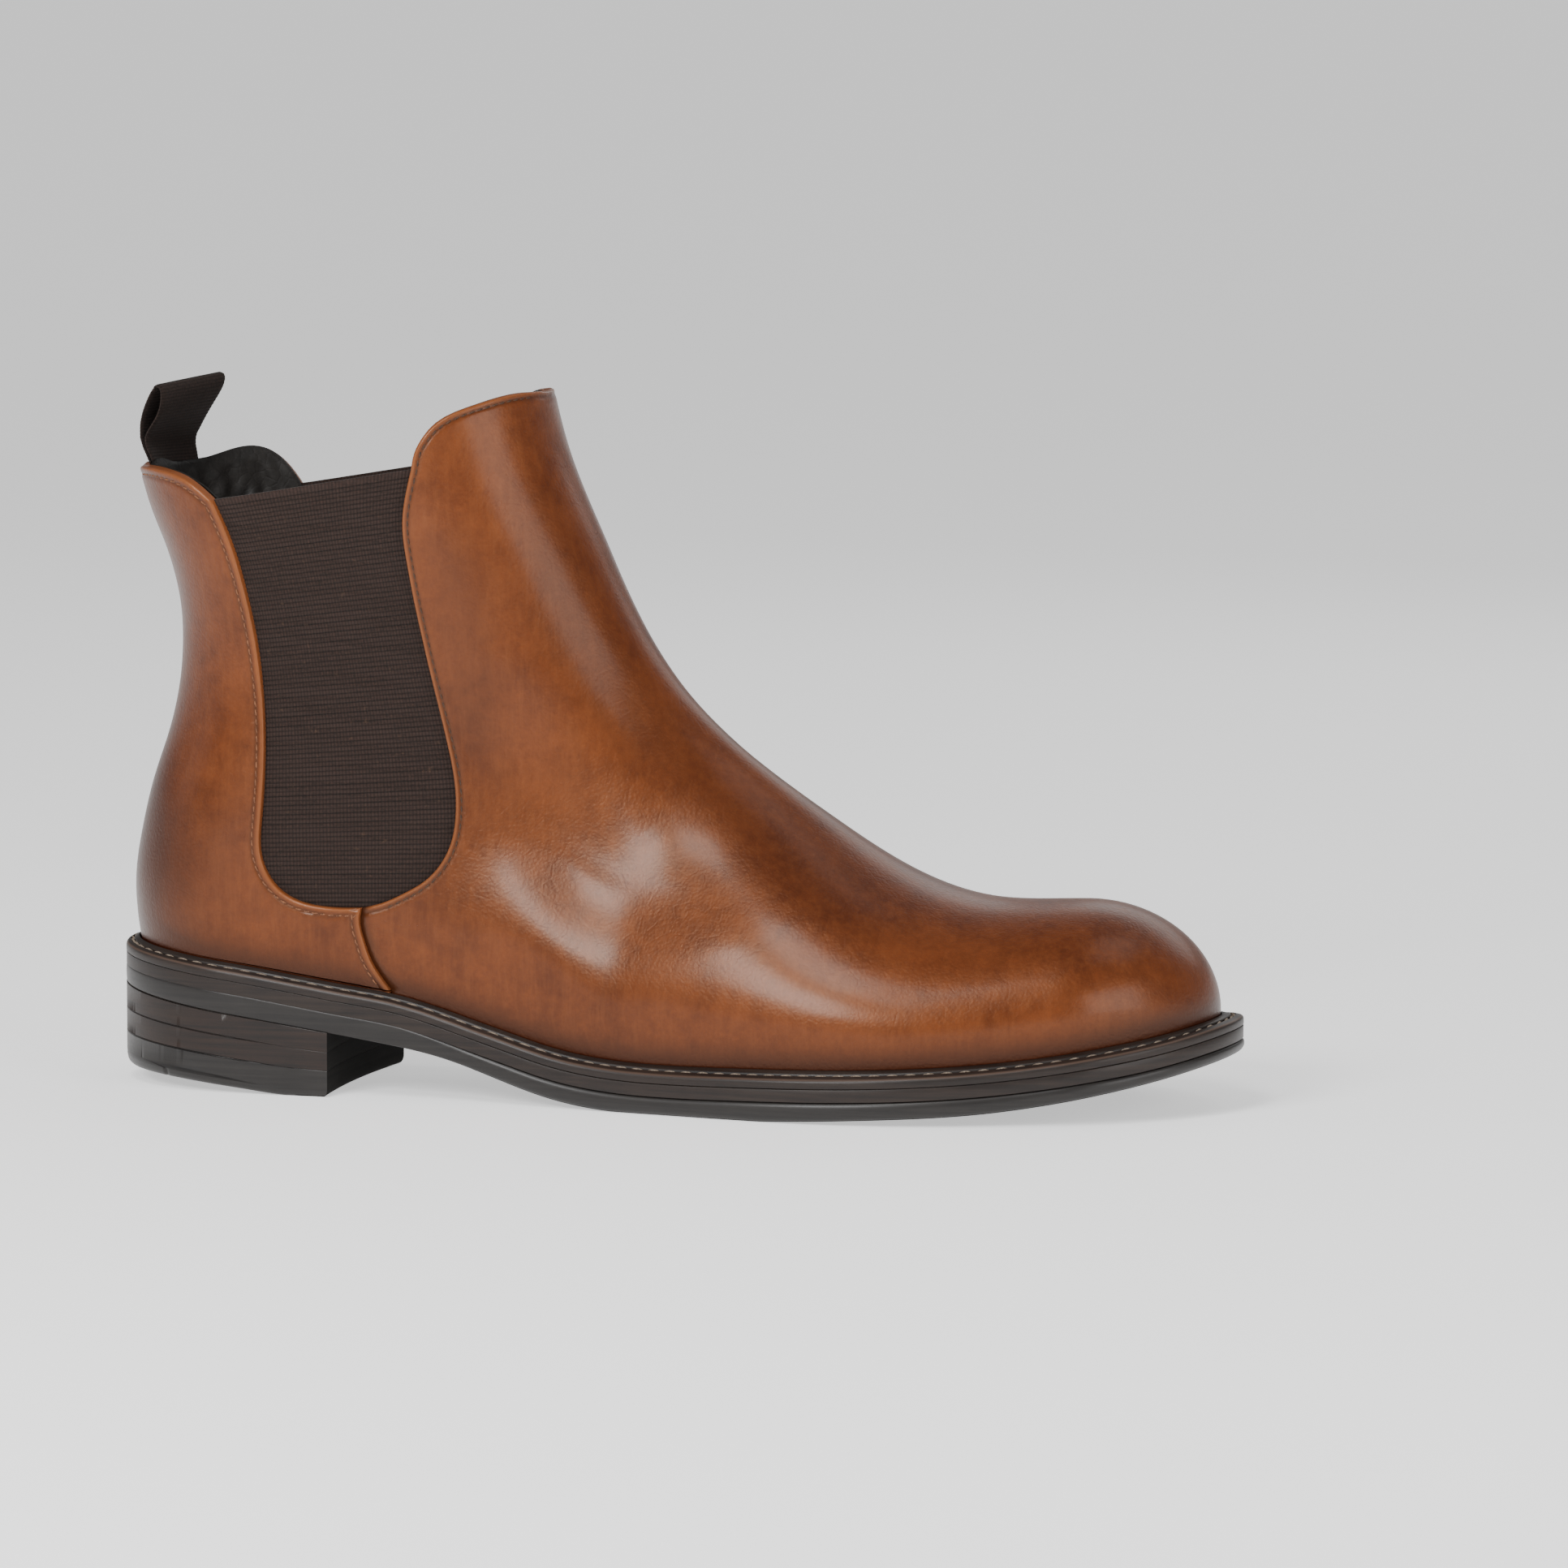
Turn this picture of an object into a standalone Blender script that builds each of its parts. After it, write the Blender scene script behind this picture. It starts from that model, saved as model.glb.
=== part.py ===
"""A man's chelsea boot, right foot: welted leather boot with elastic gores and a webbing pull tab.

Lengths in the tables are millimetres, measured in the boot's side view (x from the back of the heel
towards the toe, z up from the ground) or in plan (y towards the inner side). The scene is in metres,
with the origin on the ground under the middle of the boot, +X towards the toe and +Z up.
"""

import math

import bmesh
import bpy
import numpy as np

MM = 0.001
ORIGIN = np.array([152.4, -0.5, 0.0])

LEATHER = 1.6             # outer leather
ELASTIC = 1.2             # gore elastic
LINING = 1.0              # leather lining
STIFFENER = 1.0           # toe puff and heel counter
INNER_LAYER = 1.9         # depth of gores and stiffeners below the outer surface
LINING_LAYER = 4.0        # depth of the lining below the outer surface
GAP = 0.3                 # clearance between parts that lie together

FEATHER_RISE = 2.0        # the welt slopes up this much to the upper
BREAST_X = 67.0           # front face of the heel
TIP_X = 298.0             # foremost point of the upper
TIP_DEPTH = 36.0          # length over which the toe rounds off in plan
SPLIT_X = 173.0           # where the vamp's waist line meets the instep
DRAWN_IN = {-1: 7.0, 1: 3.0}    # how far the outer and inner side draw in above the welt at the waist

TAB_CENTRE = (9.1, 7.2)
TAB_TURN = 74.0           # plan direction of the tab's width, degrees from +X
TAB_HINGE_Z = 168.4

# Side-view lines of the upper; where the sides differ, -1 is the outer one and 1 the inner.
BACK_TOP_Z = 164.0
RIDGE = [(118.0, 185.6), (122.0, 170.5), (131.7, 147.0), (143.2, 122.8), (155, 105.6), (171.5, 89.8),
         (192.5, 74.6), (215, 60.6), (236, 53.8), (256, 53.6), (275, 54.0), (300, 54.0), (330, 54.0)]
BACK = [(4.8, 170), (9.2, 152.5), (14.0, 140), (16.9, 127), (17.3, 118), (16.3, 107), (13.4, 94), (9.0, 81),
        (5.7, 68), (3.9, 57), (3.8, 48), (4.6, 40), (6.0, 33)]
FRONT_TOPLINE = [(118.0, 185.6), (114.6, 185.3), (106.3, 182.9), (99.8, 180.2), (96.0, 177.6),
                 (92.6, 173.4), (90.8, 169.5), (90.2, 166.1)]
BACK_TOPLINE = {
    -1: [(5.9, 164.0), (13.7, 164.5), (21.1, 163.8), (27.0, 162.1), (31.2, 159.6), (34.9, 156.7)],
    1: [(5.9, 164.0), (13.2, 164.3), (18.0, 165.9), (23.5, 167.3), (29.0, 166.8), (34.6, 163.3), (39.4, 157.5)],
}
GORE_REAR = {
    -1: [(34.9, 156.7), (38.4, 148.7), (41.4, 139.5), (44.0, 129.0), (45.7, 120.5), (47.2, 110.0),
         (48.4, 95.2), (48.4, 83.2), (47.6, 71.2), (47.5, 64.5), (49.0, 59.4), (52.4, 54.8),
         (57.0, 51.9), (63.0, 50.4), (69.5, 50.0), (75.6, 50.2)],
    1: [(39.4, 157.5), (41.6, 149.0), (43.4, 139.5), (45.1, 129.0), (46.3, 120.5), (47.4, 110.0),
        (48.4, 95.2), (48.4, 83.2), (47.6, 71.2), (47.5, 64.5), (49.0, 59.4), (52.4, 54.8),
        (57.0, 51.9), (63.0, 50.4), (69.5, 50.0), (75.6, 50.2)],
}
GORE_FRONT = [(90.2, 166.1), (88.6, 159.5), (87.4, 151.4), (88.2, 142.0), (90.1, 130.1), (91.8, 121.7),
              (94.8, 108.4), (98.2, 94.3), (100.2, 84.8), (100.8, 75.3), (99.9, 68.6), (97.2, 62.6),
              (92.8, 57.8), (87.0, 54.3), (81.0, 51.6), (75.6, 50.2)]
GORE_MARGIN_REAR = [(41.0, 46.0), (39.5, 68.0), (40.0, 95.0), (38.0, 120.5), (33.0, 142.0), (26.5, 155.3)]
GORE_MARGIN_FRONT = [(108.0, 48.0), (108.5, 84.0), (103.0, 108.5), (98.2, 131.5), (95.8, 152.0),
                     (98.6, 167.2)]
SIDE_SEAM = [(75.6, 50.2), (75.2, 46.6), (76.3, 41.7), (78.0, 36.6), (80.6, 32.1), (83.2, 28.6)]

# Side-view heights of the sole against x.
WELT_TOP = [(0, 37.2), (24.7, 34.4), (45, 31.8), (61, 29.4), (71, 27.9), (84, 26.0), (95, 23.4),
            (106, 20.1), (117, 16.9), (128, 13.9), (139, 12.0), (148, 11.2), (159, 10.9), (178, 11.2),
            (200, 11.8), (228, 12.9), (253, 14.9), (277, 18.4), (289, 20.6), (305, 24.6)]
SOLE_BOTTOM = [(0, 26.5), (67, 17.2), (82, 15.0), (98, 11.9), (111.6, 7.6), (125.3, 3.2), (139.2, 0.6),
               (158, -0.3), (176, -0.3), (194.6, 0.3), (212, 1.2), (228.8, 2.1), (244.8, 3.3), (260.4, 5.4),
               (275.6, 8.2), (290.2, 11.4), (305, 15.4)]
HEEL_BOTTOM = [(0, 4.4), (10, 3.9), (25, 3.0), (35, 2.1), (44, 1.1), (52, 0.2), (60, -0.2), (70, -0.2)]
WELT_WIDTH = [(0, 4.0), (60, 4.2), (100, 5.0), (150, 5.5), (305, 6.0)]

# Widths of the last: outer and inner side of the foot near the sole, and the shaft.
FOOT_OUTER = [(0, 30.5), (30, 30.5), (60, 31), (90, 31.5), (120, 34.5), (150, 40.5), (180, 47.5),
              (205, 51.5), (230, 50.5), (255, 44.5), (278, 38), (298, 33)]
FOOT_INNER = [(0, 30), (30, 30), (60, 29), (90, 26), (120, 26), (150, 29.5), (180, 35), (205, 38.8),
              (230, 38.5), (255, 34.5), (278, 31), (298, 29)]
SHAFT = [(30, 31), (60, 32), (85, 30.5), (105, 29.5), (130, 30.5), (157, 33), (190, 34)]
CENTRE = [(0, 0), (80, 0), (120, 1), (160, 3), (200, 5), (240, 6.5), (275, 6.5), (310, 5)]
ROUND_FRONT = [(110, 38), (131, 39), (155, 49), (190, 57), (215, 46), (240, 34), (262, 30), (340, 30)]
ROUND_BACK = [(20, 33), (60, 33), (110, 34), (170, 32)]


# ---------------------------------------------------------------- curves

def cubic(t, p, q):
    """Natural cubic spline through the values p at t, read at q."""
    t = np.asarray(t, float)
    p = np.asarray(p, float)
    q = np.clip(np.asarray(q, float), t[0], t[-1])
    h = np.diff(t)
    a = np.eye(len(t))
    b = np.zeros_like(p)
    for i in range(1, len(t) - 1):
        a[i, i - 1:i + 2] = h[i - 1], 2 * (h[i - 1] + h[i]), h[i]
        b[i] = 6 * ((p[i + 1] - p[i]) / h[i] - (p[i] - p[i - 1]) / h[i - 1])
    m = np.linalg.solve(a, b)
    i = np.clip(np.searchsorted(t, q) - 1, 0, len(t) - 2)
    left, right, width = t[i + 1] - q, q - t[i], h[i]
    if p.ndim > 1:
        left, right, width = left[..., None], right[..., None], width[..., None]
    return (m[i] * left**3 / (6 * width) + m[i + 1] * right**3 / (6 * width)
            + (p[i] / width - m[i] * width / 6) * left + (p[i + 1] / width - m[i + 1] * width / 6) * right)


def table(rows, x):
    rows = np.array(rows, float)
    return cubic(rows[:, 0], rows[:, 1], x)


def lengths(points):
    return np.concatenate([[0], np.cumsum(np.linalg.norm(np.diff(points, axis=0), axis=1))])


def along(points, fractions):
    """Points at these fractions of a polyline's length."""
    s = lengths(points)
    return np.stack([np.interp(np.asarray(fractions) * s[-1], s, column) for column in points.T], axis=1)


def curve(points, count):
    """Evenly spaced points on the smooth curve through these points."""
    points = np.array(points, float)
    t = lengths(points)
    return along(cubic(t, points, np.linspace(0, t[-1], 40 * len(points))), np.linspace(0, 1, count))


def smooth(low, high, x):
    t = np.clip((x - low) / (high - low), 0, 1)
    return t * t * (3 - 2 * t)


def nearest(points, line):
    """Distance from each point to a polyline, and the nearest point on it."""
    start, step = line[:-1], np.diff(line, axis=0)
    offset = points[:, None, :] - start
    u = np.clip((offset * step).sum(2) / (step**2).sum(1), 0, 1)
    foot = start + u[..., None] * step
    distance = np.linalg.norm(points[:, None, :] - foot, axis=2)
    k = distance.argmin(1)
    row = np.arange(len(k))
    return distance[row, k], foot[row, k]


# ---------------------------------------------------------------- the last: the shape of the upper

RIDGE_LINE = curve(RIDGE, 400)
BACK_LINE = curve(BACK, 240)


def welt_top(x):
    return table(WELT_TOP, x)


def feather(x):
    """Height of the line where the upper meets the welt."""
    return welt_top(x) + FEATHER_RISE


def waist_draw(x, z, side):
    """How far the side leans in above the welt, behind the ball of the foot."""
    start = 43 - 16 * smooth(112, 150, x)
    drawn = smooth(start, start + 30, z) * (1 - smooth(start + 34, start + 76, z))
    return DRAWN_IN[side] * np.exp(-((x - 138) / 36) ** 2) * drawn


def half_width(points, side):
    """Distance of the outer surface from the boot's curved centre plane; side is -1 outer, +1 inner."""
    x, z = points[:, 0], points[:, 1]
    to_front, at_front = nearest(points, RIDGE_LINE)
    to_back, at_back = nearest(points, BACK_LINE)
    front = np.clip(1 - to_front / table(ROUND_FRONT, at_front[:, 0]), 0, 1)
    back = np.clip(1 - to_back / table(ROUND_BACK, at_back[:, 1]), 0, 1)
    tip = np.clip(1 - (TIP_X - x) / TIP_DEPTH, 0, 1)
    foot = table(FOOT_OUTER if side < 0 else FOOT_INNER, x) * (0.98 + 0.045 * smooth(-6, 14, z - feather(x)))
    shaft = smooth(55 - 18 * np.exp(-((x - 150) / 45) ** 2), 105, z)
    width = foot * (1 - shaft) + table(SHAFT, z) * shaft - waist_draw(x, z, side)
    return width * np.sqrt(np.clip(1 - front**2 - back**2 - tip**2, 0, 1))


def skin(points, side):
    """Side-view points carried onto the outer surface of the boot."""
    x, z = points.T
    return np.column_stack([x, table(CENTRE, x) + side * half_width(points, side), z])


def front_line():
    """The front profile: down the shaft, along the instep and round the toe to the welt."""
    straight = RIDGE_LINE[RIDGE_LINE[:, 0] < TIP_X - TIP_DEPTH]
    turn = np.linspace(0.02, math.pi / 2, 60)
    x = TIP_X - TIP_DEPTH * (1 - np.sin(turn))
    top = np.interp(x, RIDGE_LINE[200:, 0], RIDGE_LINE[200:, 1])
    toe = np.column_stack([x, top - table(ROUND_FRONT, x) * (1 - np.cos(turn))])
    toe = toe[toe[:, 1] > feather(toe[:, 0])]
    end = [toe[-1, 0] + 0.02, feather(toe[-1, 0])]
    return np.vstack([straight, toe, [end]])


def back_line():
    """The back profile, from the welt up to the topline."""
    line = BACK_LINE[::-1]
    line = line[(line[:, 1] > feather(line[:, 0])) & (line[:, 1] < BACK_TOP_Z)]
    return np.vstack([[[line[0, 0], feather(line[0, 0])]], line])


FRONT = front_line()
REAR = back_line()
HEEL_X = REAR[0, 0]


def feather_outline(count):
    """Plan of the upper at the welt: heel back, outer side, toe, inner side; a closed line."""
    x = HEEL_X + (FRONT[-1, 0] - HEEL_X) * (1 - np.cos(np.linspace(0, math.pi, 240))) / 2
    side = np.column_stack([x, feather(x)])
    outer, inner = skin(side, -1)[:, :2], skin(side, 1)[:, :2]
    outer[[0, -1], 1] = table(CENTRE, x[[0, -1]])
    return along(np.vstack([outer, inner[-2:0:-1], outer[:1]]), np.linspace(0, 1, count + 1))[:-1]


OUTLINE = feather_outline(720)
AHEAD = np.roll(OUTLINE, -4, axis=0) - np.roll(OUTLINE, 4, axis=0)
OUTLINE_NORMAL = np.column_stack([AHEAD[:, 1], -AHEAD[:, 0]]) / np.linalg.norm(AHEAD, axis=1)[:, None]


def ring(distance, count):
    """Plan points this far outside the upper's outline, evenly spaced from the back of the heel."""
    pick = (np.arange(count) * len(OUTLINE) // count) % len(OUTLINE)
    reach = distance(OUTLINE[pick, 0]) if callable(distance) else distance
    return OUTLINE[pick] + OUTLINE_NORMAL[pick] * np.reshape(reach, (-1, 1))


def welt_edge(extra=0.0):
    return lambda x: table(WELT_WIDTH, x) + extra


# ---------------------------------------------------------------- objects

for old in list(bpy.data.objects):
    bpy.data.objects.remove(old)

boot = bpy.data.collections.new("chelsea_boot")
cutters = bpy.data.collections.new("cutters")
cutters.hide_render = True
bpy.context.scene.collection.children.link(boot)
bpy.context.scene.collection.children.link(cutters)


def material(name, colour, roughness, metallic=0.0):
    made = bpy.data.materials.new(name)
    made.use_nodes = True
    shader = made.node_tree.nodes["Principled BSDF"]
    shader.inputs["Base Color"].default_value = (*colour, 1.0)
    shader.inputs["Roughness"].default_value = roughness
    shader.inputs["Metallic"].default_value = metallic
    return made


def add(name, points, faces, look, pivot=None):
    """One named object from points in the tables' millimetres, with its own origin at the pivot."""
    base = ORIGIN if pivot is None else np.array(pivot, float)
    mesh = bpy.data.meshes.new(name)
    mesh.from_pydata(((np.asarray(points, float) - base) * MM).tolist(), [], faces)
    mesh.materials.append(look)
    work = bmesh.new()
    work.from_mesh(mesh)
    bmesh.ops.remove_doubles(work, verts=work.verts, dist=1e-6)
    bmesh.ops.delete(work, geom=[v for v in work.verts if not v.link_faces], context="VERTS")
    bmesh.ops.recalc_face_normals(work, faces=work.faces)
    work.to_mesh(mesh)
    work.free()
    made = bpy.data.objects.new(name, mesh)
    made.location = (base - ORIGIN) * MM
    boot.objects.link(made)
    return made


def grid_faces(rows, columns, first=0):
    """Quads over a block of points stored row by row."""
    return [(first + r * columns + c, first + r * columns + c + 1,
             first + (r + 1) * columns + c + 1, first + (r + 1) * columns + c)
            for r in range(rows - 1) for c in range(columns - 1)]


def point_normals(points, faces):
    normals = np.zeros_like(points)
    for face in faces:
        corner = points[list(face)]
        normal = np.cross(corner[2] - corner[0], corner[-1] - corner[1])
        for index in face:
            normals[index] += normal
    return normals / np.maximum(np.linalg.norm(normals, axis=1), 1e-9)[:, None]


def merged(blocks):
    """Joins (points, faces) blocks, welding the points they share."""
    points, faces, count = [], [], 0
    for block, block_faces in blocks:
        points.append(block)
        faces += [tuple(index + count for index in face) for face in block_faces]
        count += len(block)
    points = np.vstack(points)
    _, first, index = np.unique(np.round(points, 3), axis=0, return_index=True, return_inverse=True)
    index = index.reshape(-1)
    welded = []
    for face in faces:
        face = list(dict.fromkeys(int(index[i]) for i in face))
        if len(face) > 2:
            welded.append(tuple(face))
    return points[first], welded


def sheet(name, blocks, depth, thickness, look, even=True):
    """A panel this deep below the outer surface: an open surface given its thickness inwards."""
    points, faces = merged(blocks)
    points = points - point_normals(points, faces) * depth
    made = bpy.data.objects.new(name, bpy.data.meshes.new(name))
    made.data.from_pydata(((points - ORIGIN) * MM).tolist(), [], faces)
    made.data.materials.append(look)
    boot.objects.link(made)
    wall = made.modifiers.new("wall", "SOLIDIFY")
    wall.thickness = thickness * MM
    wall.offset = -1
    wall.use_even_offset = even
    return made


def facing(points, faces, direction):
    """The faces wound so that on the whole they look in this direction."""
    if (point_normals(points, faces) @ np.array(direction, float)).sum() < 0:
        return [face[::-1] for face in faces]
    return faces


def side_block(grid, side, centred=True):
    """Grid of side-view points on one side of the boot, facing outwards; column 0 lies on its profile."""
    rows, columns = grid.shape[:2]
    points = skin(grid.reshape(-1, 2), side)
    if centred:
        points[::columns, 1] = table(CENTRE, points[::columns, 0])
    return points, facing(points, grid_faces(rows, columns), (0, side, 0))


# ---------------------------------------------------------------- panels of the upper

def coons(left, right, bottom, top, u=None):
    """Grid between four side-view lines: rows run from left to right, from bottom to top."""
    u = lengths(right) / lengths(right)[-1] if u is None else u
    v = lengths(bottom) / lengths(bottom)[-1]
    u, v = u[:, None, None], v[None, :, None]
    sides = (1 - v) * left[:, None] + v * right[:, None] + (1 - u) * bottom[None] + u * top[None]
    corners = (1 - u) * ((1 - v) * left[0] + v * right[0]) + u * ((1 - v) * left[-1] + v * right[-1])
    return sides - corners


def turned_under(x, side):
    """The lasting margin: the upper's edge carried down and in under the insole."""
    edge = skin(np.column_stack([x, feather(x)]), side)
    picked = np.linalg.norm(OUTLINE[None] - edge[:, None, :2], axis=2).argmin(1)
    inward = -OUTLINE_NORMAL[picked]
    rows = [edge]
    for reach, drop in ((0.3, 2.2), (1.6, 3.7), (3.6, 4.3), (10.0, 4.3)):
        plan = edge[:, :2] + inward * reach
        rows.append(np.column_stack([plan, feather(plan[:, 0]) - drop]))
    return np.stack(rows)


def margin_block(x, side):
    rows = turned_under(x, side)
    points = rows.reshape(-1, 3)
    return points, facing(points, grid_faces(*rows.shape[:2]), (0, 0, -1))


def vamp_grids(columns, upper_rows, lower_rows, shift=0.4):
    """The vamp's two patches: the shaft and instep above the waist line, and the foot below it."""
    seam = curve(np.array(SIDE_SEAM) + (shift, 0), lower_rows)[::-1]
    split = np.argmin(abs(FRONT[:, 0] - SPLIT_X))
    waist = curve([seam[-1], (100, 53.6), (130, 62.5), (155, 75.5), FRONT[split]], 80)
    v = 1 - (1 - np.linspace(0, 1, columns)) ** 1.7
    waist = along(waist, v)
    low = np.linspace(0, 1, lower_rows) ** 1.35
    x = seam[0, 0] + (FRONT[-1, 0] - seam[0, 0]) * v
    welt = np.column_stack([x, feather(x)])
    foot = coons(along(seam, low), along(FRONT[split:][::-1], low), welt, waist, low)
    edge = curve(np.array(GORE_FRONT)[::-1], upper_rows)
    edge[0] = waist[0]
    ridge = along(FRONT[:split + 1][::-1], np.linspace(0, 1, upper_rows))
    top = along(curve(np.array(FRONT_TOPLINE)[::-1], 60), v)
    shaft = coons(edge, ridge, waist, top)
    return shaft[:, ::-1], foot[:, ::-1], x


def quarter_grid(side, columns, seam_rows, rows, shift=-0.4):
    """The quarter between the back profile and the seam and gore, and the x of its edge on the welt."""
    seam = curve(np.array(SIDE_SEAM)[::-1] + (shift, 0), seam_rows)
    right = np.vstack([seam, curve(GORE_REAR[side][::-1], rows)[1:]])
    reach = lengths(np.vstack([seam, curve(GORE_REAR[-1][::-1], rows)[1:]]))
    reach = reach / reach[-1]
    left = along(REAR, np.interp(reach, (0, 0.15, 0.22, 0.28, 0.34, 1), (0, 0.05, 0.10, 0.165, 0.24, 1)))
    v = np.linspace(0, 1, columns) ** 1.6
    x = left[0, 0] + (right[0, 0] - left[0, 0]) * v
    top = along(curve(BACK_TOPLINE[side], 60), v)
    top[0] = left[-1]
    return coons(left, right, np.column_stack([x, feather(x)]), top), x


def gore_grid(rows, columns):
    """The elastic panel with the margins that are sewn under the leather."""
    rear = curve(GORE_MARGIN_REAR, rows)
    front = curve(GORE_MARGIN_FRONT, rows)
    top = along(np.array([rear[-1], front[-1]]), np.linspace(0, 1, columns))
    bottom = along(np.array([rear[0], front[0]]), np.linspace(0, 1, columns))
    return coons(rear, front, bottom, top)


tan = material("cognac_leather", (0.30, 0.105, 0.035), 0.38)
brown_elastic = material("brown_elastic", (0.045, 0.026, 0.019), 0.85)
webbing = material("brown_webbing", (0.035, 0.022, 0.017), 0.85)
black_lining = material("black_lining_leather", (0.018, 0.016, 0.015), 0.6)
stiff = material("thermoplastic_stiffener", (0.55, 0.50, 0.42), 0.7)
fibre = material("insole_fibreboard", (0.36, 0.25, 0.15), 0.85)
foam = material("footbed_leather", (0.10, 0.055, 0.03), 0.7)
steel = material("shank_steel", (0.45, 0.45, 0.46), 0.35, 1.0)
cork = material("cork_filler", (0.42, 0.26, 0.13), 0.9)
dark_sole = material("dark_brown_sole", (0.022, 0.017, 0.015), 0.5)
sole_rubber = material("sole_rubber", (0.018, 0.015, 0.014), 0.6)
heel_stack = material("heel_stack", (0.026, 0.018, 0.016), 0.5)
pale_thread = material("pale_thread", (0.52, 0.43, 0.33), 0.8)
brown_thread = material("brown_thread", (0.10, 0.045, 0.02), 0.8)
tape_cotton = material("topline_tape", (0.30, 0.26, 0.20), 0.9)

shaft, foot, feather_x = vamp_grids(15, 14, 16)
sheet("vamp", [side_block(grid, s) for grid in (shaft, foot) for s in (-1, 1)]
      + [margin_block(feather_x, s) for s in (-1, 1)], 0.0, LEATHER, tan)

for name, side in (("outer", -1), ("inner", 1)):
    grid, feather_x = quarter_grid(side, 10, 4, 18)
    panel, margin = side_block(grid, side), margin_block(feather_x, side)
    for block in (panel, margin):
        block[0][:, 1] = side * np.maximum(side * block[0][:, 1], 0.35)
    sheet(f"quarter_{name}", [panel, margin], 0.0, LEATHER, tan)
    sheet(f"gore_{name}", [side_block(gore_grid(14, 13), side, centred=False)], INNER_LAYER, ELASTIC,
          brown_elastic)


def standing(grid, clear=0.5):
    """The same grid kept above the edge of the insole board."""
    grid = grid.copy()
    grid[..., 1] = np.maximum(grid[..., 1], feather(grid[..., 0]) + clear)
    return grid


shaft, foot, _ = vamp_grids(11, 9, 12, 1.0)
sheet("lining_vamp", [side_block(standing(grid), s) for grid in (shaft, foot) for s in (-1, 1)],
      LINING_LAYER, LINING, black_lining)
sheet("lining_quarter", [side_block(standing(quarter_grid(s, 9, 3, 14, -1.0)[0]), s) for s in (-1, 1)],
      LINING_LAYER, LINING, black_lining)

# Toe puff: the front of the foot patch, a little smaller all round.
_, foot, _ = vamp_grids(18, 3, 14)
sheet("toe_puff", [side_block(standing(foot[:9, :9], 0.8), s) for s in (-1, 1)], INNER_LAYER + GAP,
      STIFFENER, stiff,
      even=False)

# Heel counter: from the back profile forward along both sides, rounded down at its front ends.
back = along(REAR[REAR[:, 1] < 92], np.linspace(0, 1, 8))
front = curve([(64, 32.5), (63, 36), (60, 39.5), (55, 41.5)], 8)
v = np.linspace(0, 1, 8) ** 1.6
base = np.column_stack([back[0, 0] + (front[0, 0] - back[0, 0]) * v, np.zeros(8)])
base[:, 1] = feather(base[:, 0]) + 0.8
back[0, 1] = base[0, 1]
front[0] = base[-1]
crown = along(curve([back[-1], (18, 86), (29, 68), (34, 52), (41, 43.6), front[-1]], 60), v)
sheet("heel_counter", [side_block(coons(back, front, base, crown), s) for s in (-1, 1)],
      INNER_LAYER + GAP, STIFFENER, stiff, even=False)

# Tape folded into the front topline, between leather and lining.
reach = np.linspace(0, 1, 9) ** 1.6
tape_top = along(curve([(118.1, 185.2), (114.6, 184.9), (106.3, 182.5), (100.2, 179.9)], 40), reach)
tape_low = along(curve([(119.1, 180.6), (115.5, 180.2), (107.2, 177.8), (101.4, 175.4)], 40), reach)
tape = tape_low[None] + np.linspace(0, 1, 3)[:, None, None] * (tape_top - tape_low)[None]
sheet("topline_tape", [side_block(tape, s) for s in (-1, 1)], INNER_LAYER + 0.1, 1.2, tape_cotton)


# ---------------------------------------------------------------- the bottom: insole to heel

def outline_sides(distance):
    """Outer and inner edge of the sole shape this far outside the upper, each from heel to toe."""
    points = ring(distance, len(OUTLINE))
    points = np.roll(points, -points[:, 0].argmin(), axis=0)
    tip = points[:, 0].argmax()
    return points[:tip + 1], np.vstack([points[tip:], points[:1]])[::-1]


def plank(name, distance, top, bottom, edge, look, start=-50.0, end=400.0, stations=30, bow=0.0):
    """A layer of the sole: its outline, its heights along x, and its edge as (inset, height share) steps."""
    shares = np.linspace(0, 1, 5)
    points, faces = [], []
    size = stations * len(shares)
    for inset, share in edge:
        reach = (lambda x, d=inset: distance(x) + d) if callable(distance) else distance + inset
        outer, inner = outline_sides(reach)
        low, high = max(start - min(inset, 0), outer[0, 0]), min(end + inset, outer[-1, 0])
        turn = np.linspace(0 if low > start else math.pi / 2, math.pi if high < end else math.pi / 2,
                           stations)
        pace = np.linspace(0, 1, stations)
        if low > start or high < end:
            pace = -np.cos(turn)
            pace = (pace - pace[0]) / (pace[-1] - pace[0])
        x = low + (high - low) * pace
        left, right = np.interp(x, outer[:, 0], outer[:, 1]), np.interp(x, inner[:, 0], inner[:, 1])
        across = left[:, None] + (right - left)[:, None] * shares
        ahead = x[:, None] - bow * (4 * shares * (1 - shares)) * pace[:, None] ** 6
        foot, head = bottom(ahead), top(ahead)
        points.append(np.stack([ahead, across, foot + share * (head - foot)], axis=2).reshape(-1, 3))
    last = len(shares) - 1
    rim = ([(r, 0) for r in range(stations)] + [(stations - 1, c) for c in range(1, last)]
           + [(r, last) for r in range(stations - 1, -1, -1)] + [(0, c) for c in range(last - 1, 0, -1)])
    rim = [r * len(shares) + c for r, c in rim]
    for level in range(len(edge) - 1):
        a, b = level * size, (level + 1) * size
        faces += [(a + rim[i - 1], a + rim[i], b + rim[i], b + rim[i - 1]) for i in range(len(rim))]
    faces += grid_faces(stations, len(shares)) + grid_faces(stations, len(shares), (len(edge) - 1) * size)
    return add(name, np.vstack(points), faces, look)


def above(height):
    return lambda x: welt_top(x) + height


def sole_bottom(x):
    return np.maximum(table(SOLE_BOTTOM, x), 0)


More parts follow.
